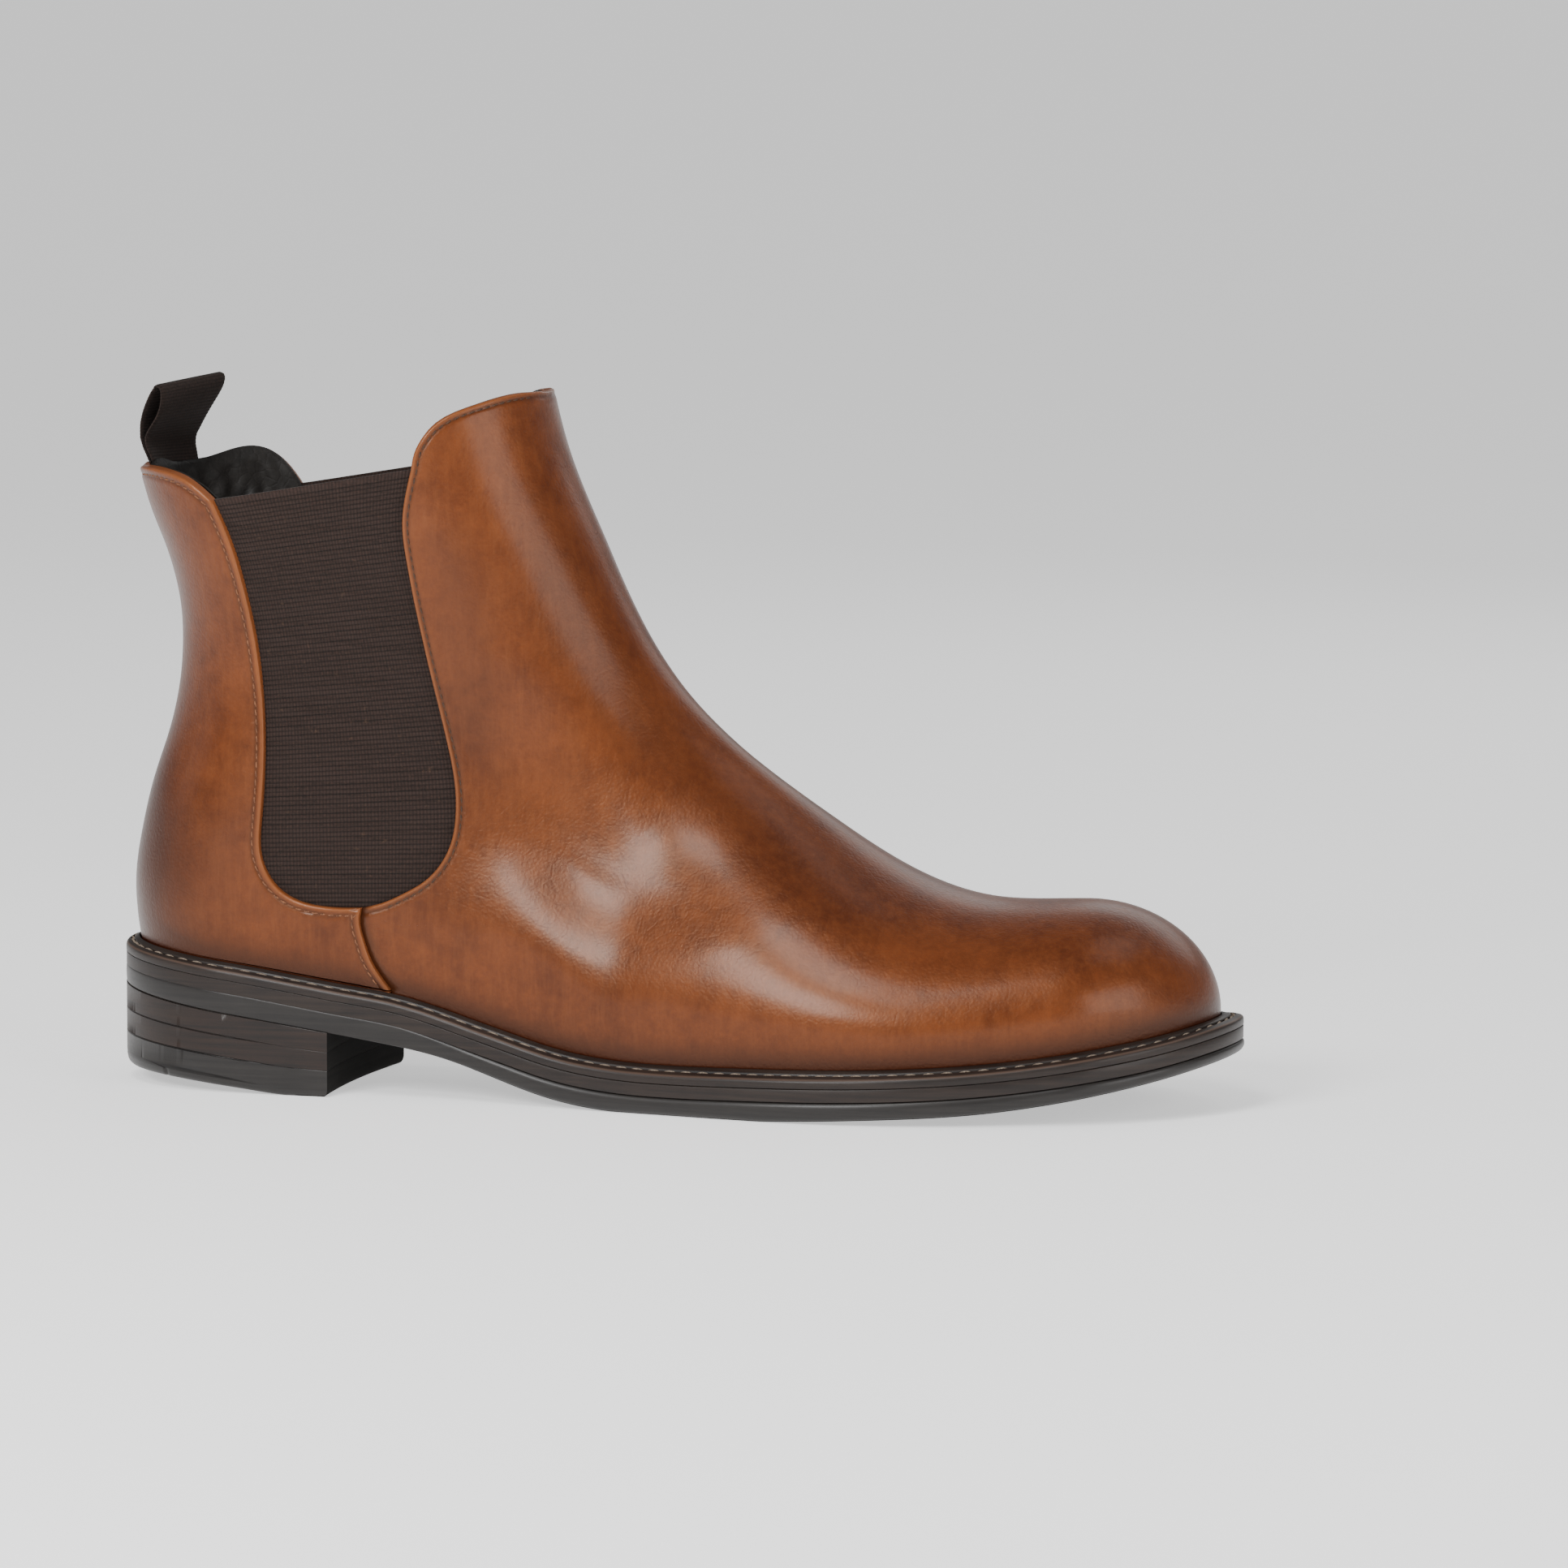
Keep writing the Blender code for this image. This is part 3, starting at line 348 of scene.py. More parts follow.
def grid_faces(rows, columns, first=0):
    """Quads over a block of points stored row by row."""
    corner = first + np.arange(rows - 1)[:, None] * columns + np.arange(columns - 1)
    corner = corner.reshape(-1)
    return np.stack([corner, corner + 1, corner + columns + 1, corner + columns], axis=1)


def point_normals(points, quads):
    corner = points[quads]
    normal = np.cross(corner[:, 2] - corner[:, 0], corner[:, 3] - corner[:, 1])
    normals = np.zeros_like(points)
    for k in range(4):
        for axis in range(3):
            normals[:, axis] += np.bincount(quads[:, k], normal[:, axis], len(points))
    return normals / np.maximum(np.linalg.norm(normals, axis=1), 1e-9)[:, None]


def weld(blocks):
    """Joins (points, quads) blocks into one, with the points that they share made one."""
    points = np.vstack([block for block, _ in blocks])
    starts = np.cumsum([0] + [len(block) for block, _ in blocks])
    quads = np.vstack([block_quads + start for (_, block_quads), start in zip(blocks, starts)])
    _, first, index = np.unique(np.round(points, 3), axis=0, return_index=True, return_inverse=True)
    return points[first], index.reshape(-1)[quads]


def faces_of(quads):
    """Quads as a list of faces, with the corners that fell together made one."""
    faces = []
    for quad in quads.tolist():
        face = list(dict.fromkeys(quad))
        if len(face) > 2:
            faces.append(face)
    return faces


def rim_of(quads):
    """The open edges of a surface, each in its face's direction."""
    ends = np.concatenate([quads[:, [0, 1]], quads[:, [1, 2]], quads[:, [2, 3]], quads[:, [3, 0]]])
    ends = ends[ends[:, 0] != ends[:, 1]]
    _, index, count = np.unique(np.sort(ends, axis=1), axis=0, return_inverse=True, return_counts=True)
    return ends[count[index.reshape(-1)] == 1]


def placed(name, data):
    """An object in the scene with this mesh, lamp or camera."""
    made = bpy.data.objects.new(name, data)
    bpy.context.scene.collection.objects.link(made)
    return made


def build(name, points, quads, look, attributes=None, sharp=50):
    """One object from points in the tables' millimetres, smooth but for its sharp corners."""
    mesh = bpy.data.meshes.new(name)
    mesh.from_pydata(((points - ORIGIN) * MM).tolist(), [], faces_of(quads))
    for key, values in (attributes or {}).items():
        mesh.attributes.new(key, "FLOAT", "POINT").data.foreach_set("value", values.astype(np.float32))
    mesh.materials.append(look)
    mesh.shade_smooth()
    mesh.set_sharp_from_angle(angle=math.radians(sharp))
    return placed(name, mesh)


def shell(name, points, quads, outer, inner, look, attributes=None):
    """A closed panel: the surface moved out by outer and in by inner, with a rim round its edge."""
    normals = point_normals(points, quads)
    outside = points + normals * np.reshape(outer, (-1, 1))
    inside = points - normals * np.reshape(inner, (-1, 1))
    edges = rim_of(quads)
    count = len(points)
    rim = np.column_stack([edges[:, 1], edges[:, 0], edges[:, 0] + count, edges[:, 1] + count])
    both = {key: np.concatenate([values, values]) for key, values in (attributes or {}).items()}
    faces = np.vstack([quads, quads[:, ::-1] + count, rim])
    return build(name, np.vstack([outside, inside]), faces, look, both)


def facing(points, quads, direction):
    """The quads wound so that on the whole they look in this direction."""
    if (point_normals(points, quads) @ np.array(direction, float)).sum() < 0:
        return quads[:, ::-1]
    return quads


def side_block(grid, side, centred=True):
    """Side-view grid on one side of the boot, facing outwards; its last column lies on the profile."""
    rows, columns = grid.shape[:2]
    points = skin(grid.reshape(-1, 2), side)
    if centred:
        points[columns - 1::columns, 1] = centre(points[columns - 1::columns, 0])
    return points, facing(points, grid_faces(rows, columns), (0, side, 0))


# ---- panels of the upper

EDGE_STEPS = np.array([0, 0.12, 0.3, 0.52, 0.8, 1.15, 1.55, 1.95, 2.35, 2.75, 3.15, 3.7, 4.4, 5.4])


def pace(length, columns):
    """Fractions of a row from the leather's edge to the profile, closer together near both."""
    near = EDGE_STEPS * min(1, length / 16) / max(length, 0.01)
    rest = 1 - (1 - near[-1]) * (1 - even(columns - len(near) + 1)[1:]) ** 1.8
    return np.concatenate([near, rest])


def coons(left, right, bottom, top, u, v):
    """Grid between four side-view lines: rows run from left to right, from bottom to top."""
    u, v = u[:, None, None], v[None, :, None]
    sides = (1 - v) * left[:, None] + v * right[:, None] + (1 - u) * bottom[None] + u * top[None]
    corners = ((1 - u) * (1 - v) * left[0] + (1 - u) * v * right[0]
               + u * (1 - v) * left[-1] + u * v * right[-1])
    return sides - corners


def fan(left, right, base, columns, bow):
    """Rows from a free edge to the profile, bowed like the base line at first and straight at the end."""
    rows = []
    for start, end, share in zip(left, right, bow):
        v = pace(np.linalg.norm(end - start), columns)[:, None]
        bend = along(base, v[:, 0]) - base[0] - (base[-1] - base[0]) * v
        rows.append(start + (end - start) * v + bend * share)
    return np.stack(rows)


def turned_under(x, side):
    """The lasting margin: the upper's edge carried down and in under the insole."""
    edge = skin(np.column_stack([x, feather(x)]), side)
    picked = np.linalg.norm(OUTLINE[None] - edge[:, None, :2], axis=2).argmin(1)
    inward = -OUTLINE_NORMAL[picked]
    rows = [edge]
    for reach, drop in ((0.1, 0.9), (0.3, 2.2), (0.9, 3.2), (1.6, 3.7), (3.6, 4.3), (10.0, 4.3)):
        plan = edge[:, :2] + inward * reach
        rows.append(np.column_stack([plan, feather(plan[:, 0]) - drop]))
    return np.stack(rows)


def margin_block(x, side):
    rows = turned_under(x, side)
    points = rows.reshape(-1, 3)
    return points, facing(points, grid_faces(*rows.shape[:2]), (0, 0, -1))


def vamp_grids(columns, upper_rows, lower_rows, under=0.0):
    """The vamp's two patches, above and below its waist line; its seam edge runs on under the quarter."""
    split = np.argmin(abs(FRONT[:, 0] - SPLIT_X))
    seam = np.array(SIDE_SEAM, float)
    seam[:, 0] -= under * smooth(0, 5, seam[0, 1] - seam[:, 1])
    seam = curve(seam, 200)[::-1]
    waist = curve([seam[-1], (84, 46.5), (101, 48.0), (130, 59.5), (155, 74.5), FRONT[split]], 400)
    v = pace(lengths(waist)[-1], columns)
    u = even(lower_rows) ** 1.25
    x = seam[0, 0] + (FRONT[-1, 0] - seam[0, 0]) * v
    welt = np.column_stack([x, feather(x)])
    foot = coons(along(seam, u), along(FRONT[split:][::-1], u), welt, along(waist, v), u, v)
    steps = even(upper_rows)
    edge, ridge = along(VAMP_EDGE, steps), along(FRONT[:split + 1][::-1], steps)
    edge[0], ridge[0] = waist[0], waist[-1]
    return fan(edge, ridge, waist, columns, (1 - steps) ** 1.3), foot, x


def quarter_grid(side, columns, seam_rows, rows):
    """The quarter, from the seam, the gore and the topline to the back profile, and its x along the welt."""
    seam = along(SEAM_LINE[::-1], even(seam_rows))
    right = np.vstack([seam, along(QUARTER_EDGE[side], even(rows))[1:]])
    reach = lengths(np.vstack([seam, along(QUARTER_EDGE[-1], even(rows))[1:]]))
    reach = reach / reach[-1]
    height = np.interp(reach, (0, 0.12, 0.18, 0.24, 0.29, 0.82, 1), (0, 0.06, 0.115, 0.18, 0.25, 0.87, 1))
    left = along(REAR, height)
    x = right[0, 0] + (left[0, 0] - right[0, 0]) * even(400)
    welt = np.column_stack([x, feather(x)])
    grid = fan(right, left, welt, columns, fade(0, 0.35, reach))
    v = np.stack([pace(np.linalg.norm(b - a), columns) for a, b in zip(right, left)])
    dip = 20 * smooth(0.02, 0.2, reach) * fade(0.16, 0.45, reach)
    grid[..., 1] -= dip[:, None] * (1 - v) ** 2 * v
    return grid, along(welt, v[0])[:, 0]


def gore_grid(rows, columns):
    """The elastic panel with the margins that are sewn under the leather."""
    rear, front = curve(GORE_SEWN_REAR, rows), curve(GORE_SEWN_FRONT, rows)
    share = even(columns)
    bottom, top = (along(np.array([rear[end], front[end]]), share) for end in (0, -1))
    return coons(rear, front, bottom, top, even(rows), share)


def side_view(points):
    return points[:, [0, 2]]


def uneven(points, size):
    """A gentle unevenness of the surface, between -1 and 1."""
    x, y, z = (points / size).T
    return (np.sin(x * 2.1 + 1.3 * np.sin(z * 1.7)) * np.sin(z * 2.4 + 0.9 * np.sin(x * 1.3 + 2))
            * np.cos(y * 1.2 + 0.5))


def folded_edge(d, stitch):
    """Profile of a turned leather edge at distance d: rounded over, a soft bead, the stitches' groove."""
    radius = 0.8
    fall = radius - np.sqrt(np.clip(radius**2 - np.clip(radius - d, 0, radius)**2, 0, None))
    return -fall - GROOVE * hump(d, stitch, 0.5) + 0.04 * hump(d, stitch + 1.4, 0.9)


def burnish_and_welt_shade(points):
    """Where polish darkens the leather: toe, instep ridge, heel, shaft; and painted shade along the welt."""
    x, z = points[:, 0], points[:, 2]
    ridge, _ = nearest(side_view(points), RIDGE_LINE)
    back, _ = nearest(side_view(points), BACK_LINE)
    toe = 0.2 * smooth(258, 298, x)
    instep = 0.42 * hump(ridge, 9, 9) * smooth(112, 125, x) * fade(196, 232, x)
    instep += 0.12 * hump(ridge, 12, 8) * smooth(205, 235, x)
    heel = 1.0 * hump(z, 60, 26) * hump(x, 8, 22) + 0.5 * hump(back, 0, 11)
    # painted shade: a dark band on the leather just above the welt, where the upper meets the sole
    foot = 0.95 * hump(z - feather(x), 0, 5.5)
    shaft = 0.34 * hump(x, 105 - 0.10 * (z - 110), 10) * smooth(72, 95, z) * fade(138, 158, z)
    return np.clip(toe + instep + heel + foot + shaft, 0, 1)


def leather_marks(points, edge_distance, stitch):
    """Vertex values that the leather's material reads."""
    # edge: a pale band on turned edges, partly their own paler leather, partly a painted highlight
    # row: painted shade in the groove of the stitch row
    edge, row = hump(edge_distance, 0.3, 0.6), hump(edge_distance, stitch, 0.55)
    return {"burnish_and_welt_shade": burnish_and_welt_shade(points), "edge": edge, "row": row}


# ---- materials

def put(tree, kind, inputs=None, **settings):
    """A node with its settings, and its inputs linked or set."""
    made = tree.nodes.new(kind)
    for key, value in settings.items():
        setattr(made, key, value)
    for key, value in (inputs or {}).items():
        if isinstance(value, bpy.types.NodeSocket):
            tree.links.new(value, made.inputs[key])
        else:
            made.inputs[key].default_value = value
    return made


class Look:
    """A material on one Principled shader, with short names for the nodes that its patterns use."""

    def __init__(self, name, **sockets):
        self.material = bpy.data.materials.new(name)
        self.material.use_nodes = True
        self.tree = self.material.node_tree
        self.shader = self.tree.nodes["Principled BSDF"]
        self.place = put(self.tree, "ShaderNodeTexCoord").outputs["Object"]
        for key, value in sockets.items():
            self.shader.inputs[key.replace("_", " ")].default_value = value

    def stretched(self, scale, rotation=(0, 0, 0)):
        inputs = {"Vector": self.place, "Scale": scale, "Rotation": rotation}
        return put(self.tree, "ShaderNodeMapping", inputs).outputs[0]

    def noise(self, scale, detail=2.0, rough=0.5, place=None):
        inputs = {"Vector": place or self.place, "Scale": scale, "Detail": detail, "Roughness": rough}
        return put(self.tree, "ShaderNodeTexNoise", inputs).outputs["Fac"]

    def cells(self, scale, feature="F1"):
        inputs = {"Vector": self.place, "Scale": scale}
        return put(self.tree, "ShaderNodeTexVoronoi", inputs, feature=feature).outputs["Distance"]

    def mark(self, name):
        return put(self.tree, "ShaderNodeAttribute", attribute_name=name).outputs["Fac"]

    def span(self, value, low, high, to_low=0.0, to_high=1.0):
        inputs = {"Value": value, "From Min": low, "From Max": high, "To Min": to_low, "To Max": to_high}
        return put(self.tree, "ShaderNodeMapRange", inputs).outputs[0]

    def math(self, operation, *values):
        return put(self.tree, "ShaderNodeMath", dict(enumerate(values)), operation=operation).outputs[0]

    def sum(self, *terms):
        """The sum of (value, weight) terms."""
        total = 0.0
        for value, weight in terms:
            total = self.math("MULTIPLY_ADD", value, weight, total)
        return total

    def times(self, first, second):
        return self.math("MULTIPLY", first, second)

    def blend(self, factor, first, second):
        """Colour first where the factor is 0 and second where it is 1."""
        mix = put(self.tree, "ShaderNodeMix", {0: factor}, data_type="RGBA")
        for index, colour in ((6, first), (7, second)):
            if isinstance(colour, bpy.types.NodeSocket):
                self.tree.links.new(colour, mix.inputs[index])
            else:
                mix.inputs[index].default_value = (*colour, 1.0)
        return mix.outputs[2]

    def bump(self, height, depth, under=None):
        """The surface's normal with this height pattern, depth in millimetres."""
        inputs = {"Height": height, "Distance": depth * MM, "Strength": 1.0}
        if under is not None:
            inputs["Normal"] = under
        return put(self.tree, "ShaderNodeBump", inputs).outputs[0]

    def finish(self, colour=None, roughness=None, normal=None):
        for key, value in (("Base Color", colour), ("Roughness", roughness), ("Normal", normal)):
            if value is not None:
                self.tree.links.new(value, self.shader.inputs[key])
        return self.material


def cognac_leather():
    """Polished calf: tan, polish-darkened in places and in painted shade, paler on turned edges, fine grain.
    """
    look = Look("cognac_leather", Coat_Weight=0.22, Coat_Roughness=0.21, Specular_IOR_Level=0.44,
                Specular_Tint=(1.0, 0.60, 0.38, 1.0))
    cloud = look.noise(22, 3, 0.55)
    patch = look.noise(75, 4, 0.6)
    mottle = look.noise(260, 5, 0.65)
    speck = look.noise(900, 3, 0.6)
    brushed = look.noise(1.0, 3, 0.6, look.stretched((520, 520, 70), (0.5, 0.35, 0.2)))
    tan = look.blend(look.span(look.sum((cloud, 0.42), (patch, 0.33), (mottle, 0.25)), 0.41, 0.59),
                     (0.073, 0.0142, 0.0028), (0.160, 0.0385, 0.0084))
    tan = look.blend(look.span(speck, 0.3, 0.7, 0.0, 0.30), tan, (0.058, 0.0115, 0.0024))
    tan = look.blend(look.span(brushed, 0.45, 0.75, 0.0, 0.25), tan, (0.21, 0.062, 0.0175))
    # darker where the polish has darkened it, and in a band of painted shade just above the welt
    burnished_and_shaded = look.sum((look.mark("burnish_and_welt_shade"), 1.0), (patch, 0.35), (cloud, 0.25))
    burnished_and_shaded = look.span(burnished_and_shaded, 0.25, 1.25, 0.0, 0.92)
    tan = look.blend(burnished_and_shaded, tan, (0.032, 0.0055, 0.0016))
    # Paler on turned edges: partly the fold's own paler leather, partly a painted highlight on its rounding.
    tan = look.blend(look.times(look.mark("edge"), 0.5), tan, (0.29, 0.095, 0.030))
    # Painted shade: darker in the stitch rows' groove and, where the row mark is raised, in the seams.
    tan = look.blend(look.times(look.mark("row"), 0.75), tan, (0.035, 0.009, 0.003))
    grain = look.sum((look.cells(1100), 0.55), (look.noise(1700, 3, 0.6), 0.45))
    pores = look.span(look.cells(520), 0.02, 0.22)
    creases = look.span(look.cells(230, "DISTANCE_TO_EDGE"), 0.0, 0.08)
    normal = look.bump(grain, 0.08)
    normal = look.bump(look.sum((pores, 0.4), (creases, 0.6)), 0.026, normal)
    normal = look.bump(brushed, 0.03, normal)
    rough = look.sum((speck, 0.10), (cloud, 0.12), (patch, 0.10), (look.mark("edge"), 0.06), (0.225, 1.0))
    return look.finish(tan, rough, normal)


THREAD_PITCH = 0.92       # upright threads round the gore's ribs


def ribbed_elastic():
    """Woven elastic: each rib wrapped in fine upright threads, with stray lighter fibres."""
    look = Look("brown_elastic", Specular_IOR_Level=0.15, Sheen_Weight=0.08, Sheen_Roughness=0.5)
    flecks = look.noise(1500, 3, 0.7)
    threads = look.math("SINE", look.times(look.mark("across"), math.tau / THREAD_PITCH))
    rows = look.noise(1.0, 1, 0.5, look.stretched((60, 60, 1300)))
    brown = look.blend(look.span(flecks, 0.3, 0.7), (0.013, 0.0078, 0.0062), (0.042, 0.0245, 0.0195))
    brown = look.blend(look.span(rows, 0.35, 0.65, 0.0, 0.5), brown, (0.040, 0.025, 0.021))
    brown = look.blend(look.span(threads, -1.0, 0.6, 0.42, 0.0), brown, (0.006, 0.004, 0.003))
    # Painted shade in the grooves between the ribs.
    brown = look.blend(look.times(look.mark("valley_shade"), 0.9), brown, (0.006, 0.004, 0.003))
    brown = look.blend(look.span(look.noise(420, 2, 0.7), 0.66, 0.78, 0.0, 0.16), brown, (0.15, 0.085, 0.05))
    normal = look.bump(threads, 0.05)
    normal = look.bump(flecks, 0.06, normal)
    return look.finish(brown, look.span(flecks, 0.3, 0.7, 0.72, 0.95), normal)


def grosgrain():
    look = Look("brown_webbing", Specular_IOR_Level=0.15, Sheen_Weight=0.05, Sheen_Roughness=0.5)
    flecks = look.noise(1600, 3, 0.7)
    threads = look.noise(1.0, 2, 0.5, look.stretched((2400, 2400, 500)))
    brown = look.blend(look.span(flecks, 0.3, 0.7), (0.009, 0.0055, 0.0045), (0.030, 0.019, 0.0155))
    # Painted shade in the grooves between the ribs.
    brown = look.blend(look.times(look.mark("valley_shade"), 0.7), brown, (0.006, 0.004, 0.003))
    normal = look.bump(look.sum((threads, 1.0), (flecks, 0.6)), 0.05)
    return look.finish(brown, look.span(flecks, 0.3, 0.7, 0.75, 0.95), normal)


def lining_leather():
    look = Look("black_lining_leather", Specular_IOR_Level=0.22)
    cloud = look.noise(60, 3, 0.6)
    grain = look.noise(900, 3, 0.6)
    black = look.blend(look.span(cloud, 0.35, 0.65), (0.0045, 0.0040, 0.0036), (0.011, 0.009, 0.0075))
    black = look.blend(look.span(grain, 0.5, 0.75, 0.0, 0.4), black, (0.026, 0.021, 0.018))
    creases = look.span(look.cells(330, "DISTANCE_TO_EDGE"), 0.0, 0.12)
    normal = look.bump(look.sum((grain, 0.6), (creases, 0.4)), 0.09)
    return look.finish(black, look.span(cloud, 0.3, 0.7, 0.42, 0.62), normal)


def sole_leather(name, dark, pale, rough, polish, gloss=0.28):
    """Edges inked and waxed nearly black, with drawn streaks along them."""
    look = Look(name, Coat_Weight=polish, Coat_Roughness=0.25, Specular_IOR_Level=gloss)
    streaks = look.noise(1.0, 4, 0.6, look.stretched((26, 26, 900)))
    cloud = look.noise(70, 3, 0.6)
    fine = look.noise(1300, 3, 0.6)
    colour = look.blend(look.span(look.sum((streaks, 0.7), (cloud, 0.3)), 0.35, 0.68), dark, pale)
    normal = look.bump(look.sum((streaks, 0.7), (fine, 0.3)), 0.05)
    # Painted highlight: a pale line along the welt's outer edge.
    colour = look.blend(look.times(look.mark("lip_highlight"), 0.5), colour, (0.11, 0.065, 0.045))
    return look.finish(colour, look.sum((cloud, 0.14), (fine, 0.10), (rough, 1.0)), normal)


def thread_look(name, dark, pale):
    look = Look(name, Specular_IOR_Level=0.35)
    ply = look.noise(1.0, 2, 0.6, look.stretched((2600, 2600, 1300), (0.4, 0.5, 0.3)))
    colour = look.blend(look.span(ply, 0.35, 0.65), dark, pale)
    return look.finish(colour, look.span(ply, 0.3, 0.7, 0.6, 0.85), look.bump(ply, 0.08))


def plain_fibre(name, dark, pale, scale, stretch, rough, depth, metallic=0.0):
    """The finish of a hidden piece: fibres or grains in two tones."""
    look = Look(name, Metallic=metallic)
    coarse = look.noise(1.0, 4, 0.65, look.stretched(stretch))
    fine = look.noise(scale, 3, 0.6)
    grain = look.sum((coarse, 0.5), (fine, 0.5))
    colour = look.blend(look.span(grain, 0.35, 0.65), dark, pale)
    rough = look.span(fine, 0.3, 0.7, rough - 0.08, rough + 0.08)
    return look.finish(colour, rough, look.bump(grain, depth))


LEATHER_LOOK = cognac_leather()
TAPE_LOOK = plain_fibre("topline_tape", (0.24, 0.20, 0.15), (0.38, 0.33, 0.26), 1400, (1200,) * 3, 0.9, 0.08)
ELASTIC_LOOK = ribbed_elastic()
WEBBING_LOOK = grosgrain()
LINING_LOOK = lining_leather()
SOLE_LOOK = sole_leather("dark_brown_sole", (0.009, 0.006, 0.005), (0.025, 0.016, 0.012), 0.34, 0.12)
RUBBER_LOOK = sole_leather("sole_rubber", (0.010, 0.0085, 0.008), (0.021, 0.018, 0.016), 0.32, 0.2)
HEEL_LOOK = sole_leather("heel_stack", (0.009, 0.006, 0.005), (0.025, 0.014, 0.010), 0.36, 0.12)
# Matte, not polished; its darker colour is painted shade on the heel's breast under the arch and below.
UNPOLISHED_SHADED = sole_leather("unpolished_shaded_edge", (0.004, 0.0035, 0.003), (0.009, 0.0075, 0.006), 0.7, 0.0, 0.08)
PALE_THREAD = thread_look("pale_thread", (0.11, 0.082, 0.060), (0.27, 0.215, 0.165))
DARK_THREAD = thread_look("brown_thread", (0.030, 0.014, 0.008), (0.085, 0.040, 0.020))
TAN_THREAD = thread_look("tan_thread", (0.085, 0.030, 0.012), (0.26, 0.105, 0.048))


# ---- the pieces

def hand_over(piece, slot, *nodes):
    """The piece rides on the boot and stands for these nodes, which are hidden. The slot is not used."""
    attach(piece, "boot")
    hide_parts(*nodes)
    return piece


def ribs(phase):
    """Round cords side by side, one to each unit of phase: 1 on a cord, 0 between two."""
    return np.abs(np.cos(math.pi * phase)) ** 0.7


def tab_distance(points):
    """Distance in plan from the middle of the pull tab."""
    return np.hypot(points[:, 0] - TAB_CENTRE[0], points[:, 1] - TAB_CENTRE[1])


# Vamp.
shaft, foot, feather_x = vamp_grids(96, 118, 66, under=5.0)
points, quads = weld([side_block(grid, side) for grid in (shaft, foot) for side in (-1, 1)]
                     + [margin_block(feather_x, side) for side in (-1, 1)])
flat = side_view(points)
edge_d, _ = nearest(flat, VAMP_EDGE)
seam_d, seam_at = nearest(flat, SEAM_LINE)
behind = np.where(flat[:, 0] < seam_at[:, 0], -seam_d, seam_d)
near_seam = flat[:, 1] < SEAM_TOP
outer = (folded_edge(edge_d, VAMP_STITCH) - SEAM_SINK * near_seam * fade(-1.5, 2.8, behind)
         + UNEVENNESS * uneven(points, UNEVEN_SIZE))
inner = LEATHER + FOLD * fade(0.6, 3.5, edge_d)
marks = leather_marks(points, edge_d, VAMP_STITCH)
# Painted shadow: a dark line on the vamp just ahead of the side seam, under the quarter's lapped edge.
marks["row"] = np.maximum(marks["row"], 1.6 * near_seam * hump(behind, 0.4, 1.5))
panel = shell("vamp_leather", points, quads, outer, inner, LEATHER_LOOK, marks)
vamp = hand_over(panel, "cognac_leather", "vamp")

# Quarters.
for name, side in SIDES:
    grid, feather_x = quarter_grid(side, 72, 22, 150)
    blocks = [side_block(grid, side), margin_block(feather_x, side)]
    for block_points, _ in blocks:
        block_points[:, 1] = side * np.maximum(side * block_points[:, 1], BACK_GAP)
    points, quads = weld(blocks)
    flat = side_view(points)
    edge_d, _ = nearest(flat, QUARTER_EDGE[side])
    seam_d, _ = nearest(flat, SEAM_LINE)
    back_d = np.abs(points[:, 1] - centre(points[:, 0]))
    free_d = np.minimum(edge_d, seam_d)
    outer = (folded_edge(free_d, QUARTER_STITCH) + SEAM_RISE * fade(1, 11, seam_d)
             - 0.45 * hump(back_d, 0, 0.9) + UNEVENNESS * uneven(points, UNEVEN_SIZE))
    by_tab = fade(12, 15, tab_distance(points))
    inner = LEATHER + FOLD * fade(0.6, 3.5, edge_d) * (1 - by_tab) - 0.7 * fade(1, 9, seam_d)
    marks = leather_marks(points, free_d, QUARTER_STITCH)
    # Painted shade: darker along the groove of the back seam.
    marks["row"] = np.maximum(marks["row"], hump(back_d, 0, 0.7))
    panel = shell(f"quarter_leather_{name}", points, quads, outer, inner, LEATHER_LOOK, marks)
    hand_over(panel, "cognac_leather", f"quarter_{name}")

# Gores: each rib is a round cord under its wrapping threads.
GORE_ROWS = 690
GORE_COLUMNS = 34
grid = gore_grid(GORE_ROWS, GORE_COLUMNS)
length = lengths(grid[:, GORE_COLUMNS // 2])[-1]
height = np.repeat(even(GORE_ROWS), GORE_COLUMNS) * length
across = np.tile(even(GORE_COLUMNS), GORE_ROWS) * GORE_WIDTH
rib = np.where(length - height < GORE_BINDING, 0.9, ribs(height / RIB_PITCH))
# The grooves between the ribs are marked for painted shade.
marks = {"across": across, "valley_shade": np.clip(1 - rib * 1.35, 0, 1)}
for name, side in SIDES:
    points, quads = side_block(grid, side, centred=False)
    outer = -GORE_DEPTH + RIB_RELIEF * (rib - 0.6) + 0.22 * uneven(points, 14)
    inner = GORE_DEPTH + ELASTIC + 0.2 * (rib - 0.6)
    panel = shell(f"gore_elastic_{name}", points, quads, outer, inner, ELASTIC_LOOK, marks)
    elastic = hand_over(panel, "brown_elastic", f"gore_{name}")


# Linings: loose soft leather, wrinkled at the back.
def standing(grid, clear=0.5):
    """The same grid kept above the edge of the insole board."""
    grid = grid.copy()
    grid[..., 1] += clear * fade(0, 6, grid[..., 1] - feather(grid[..., 0]))
    return grid


def wrinkles(points):
    """Loose folds in the back lining, mostly upright."""
    x, y, z = points.T
    upright = np.sin(x * 0.55 + y * 0.5 + 1.6 * np.sin(z * 0.16) + 0.8 * np.sin(z * 0.05 + x * 0.1))
    small = np.sin(x * 1.3 - z * 0.45 + 2.0 * np.sin(y * 0.21)) * np.sin(z * 0.33 + 1)
    return (0.42 * upright + 0.28 * small) * smooth(112, 140, z) * fade(160.5, 164, z)


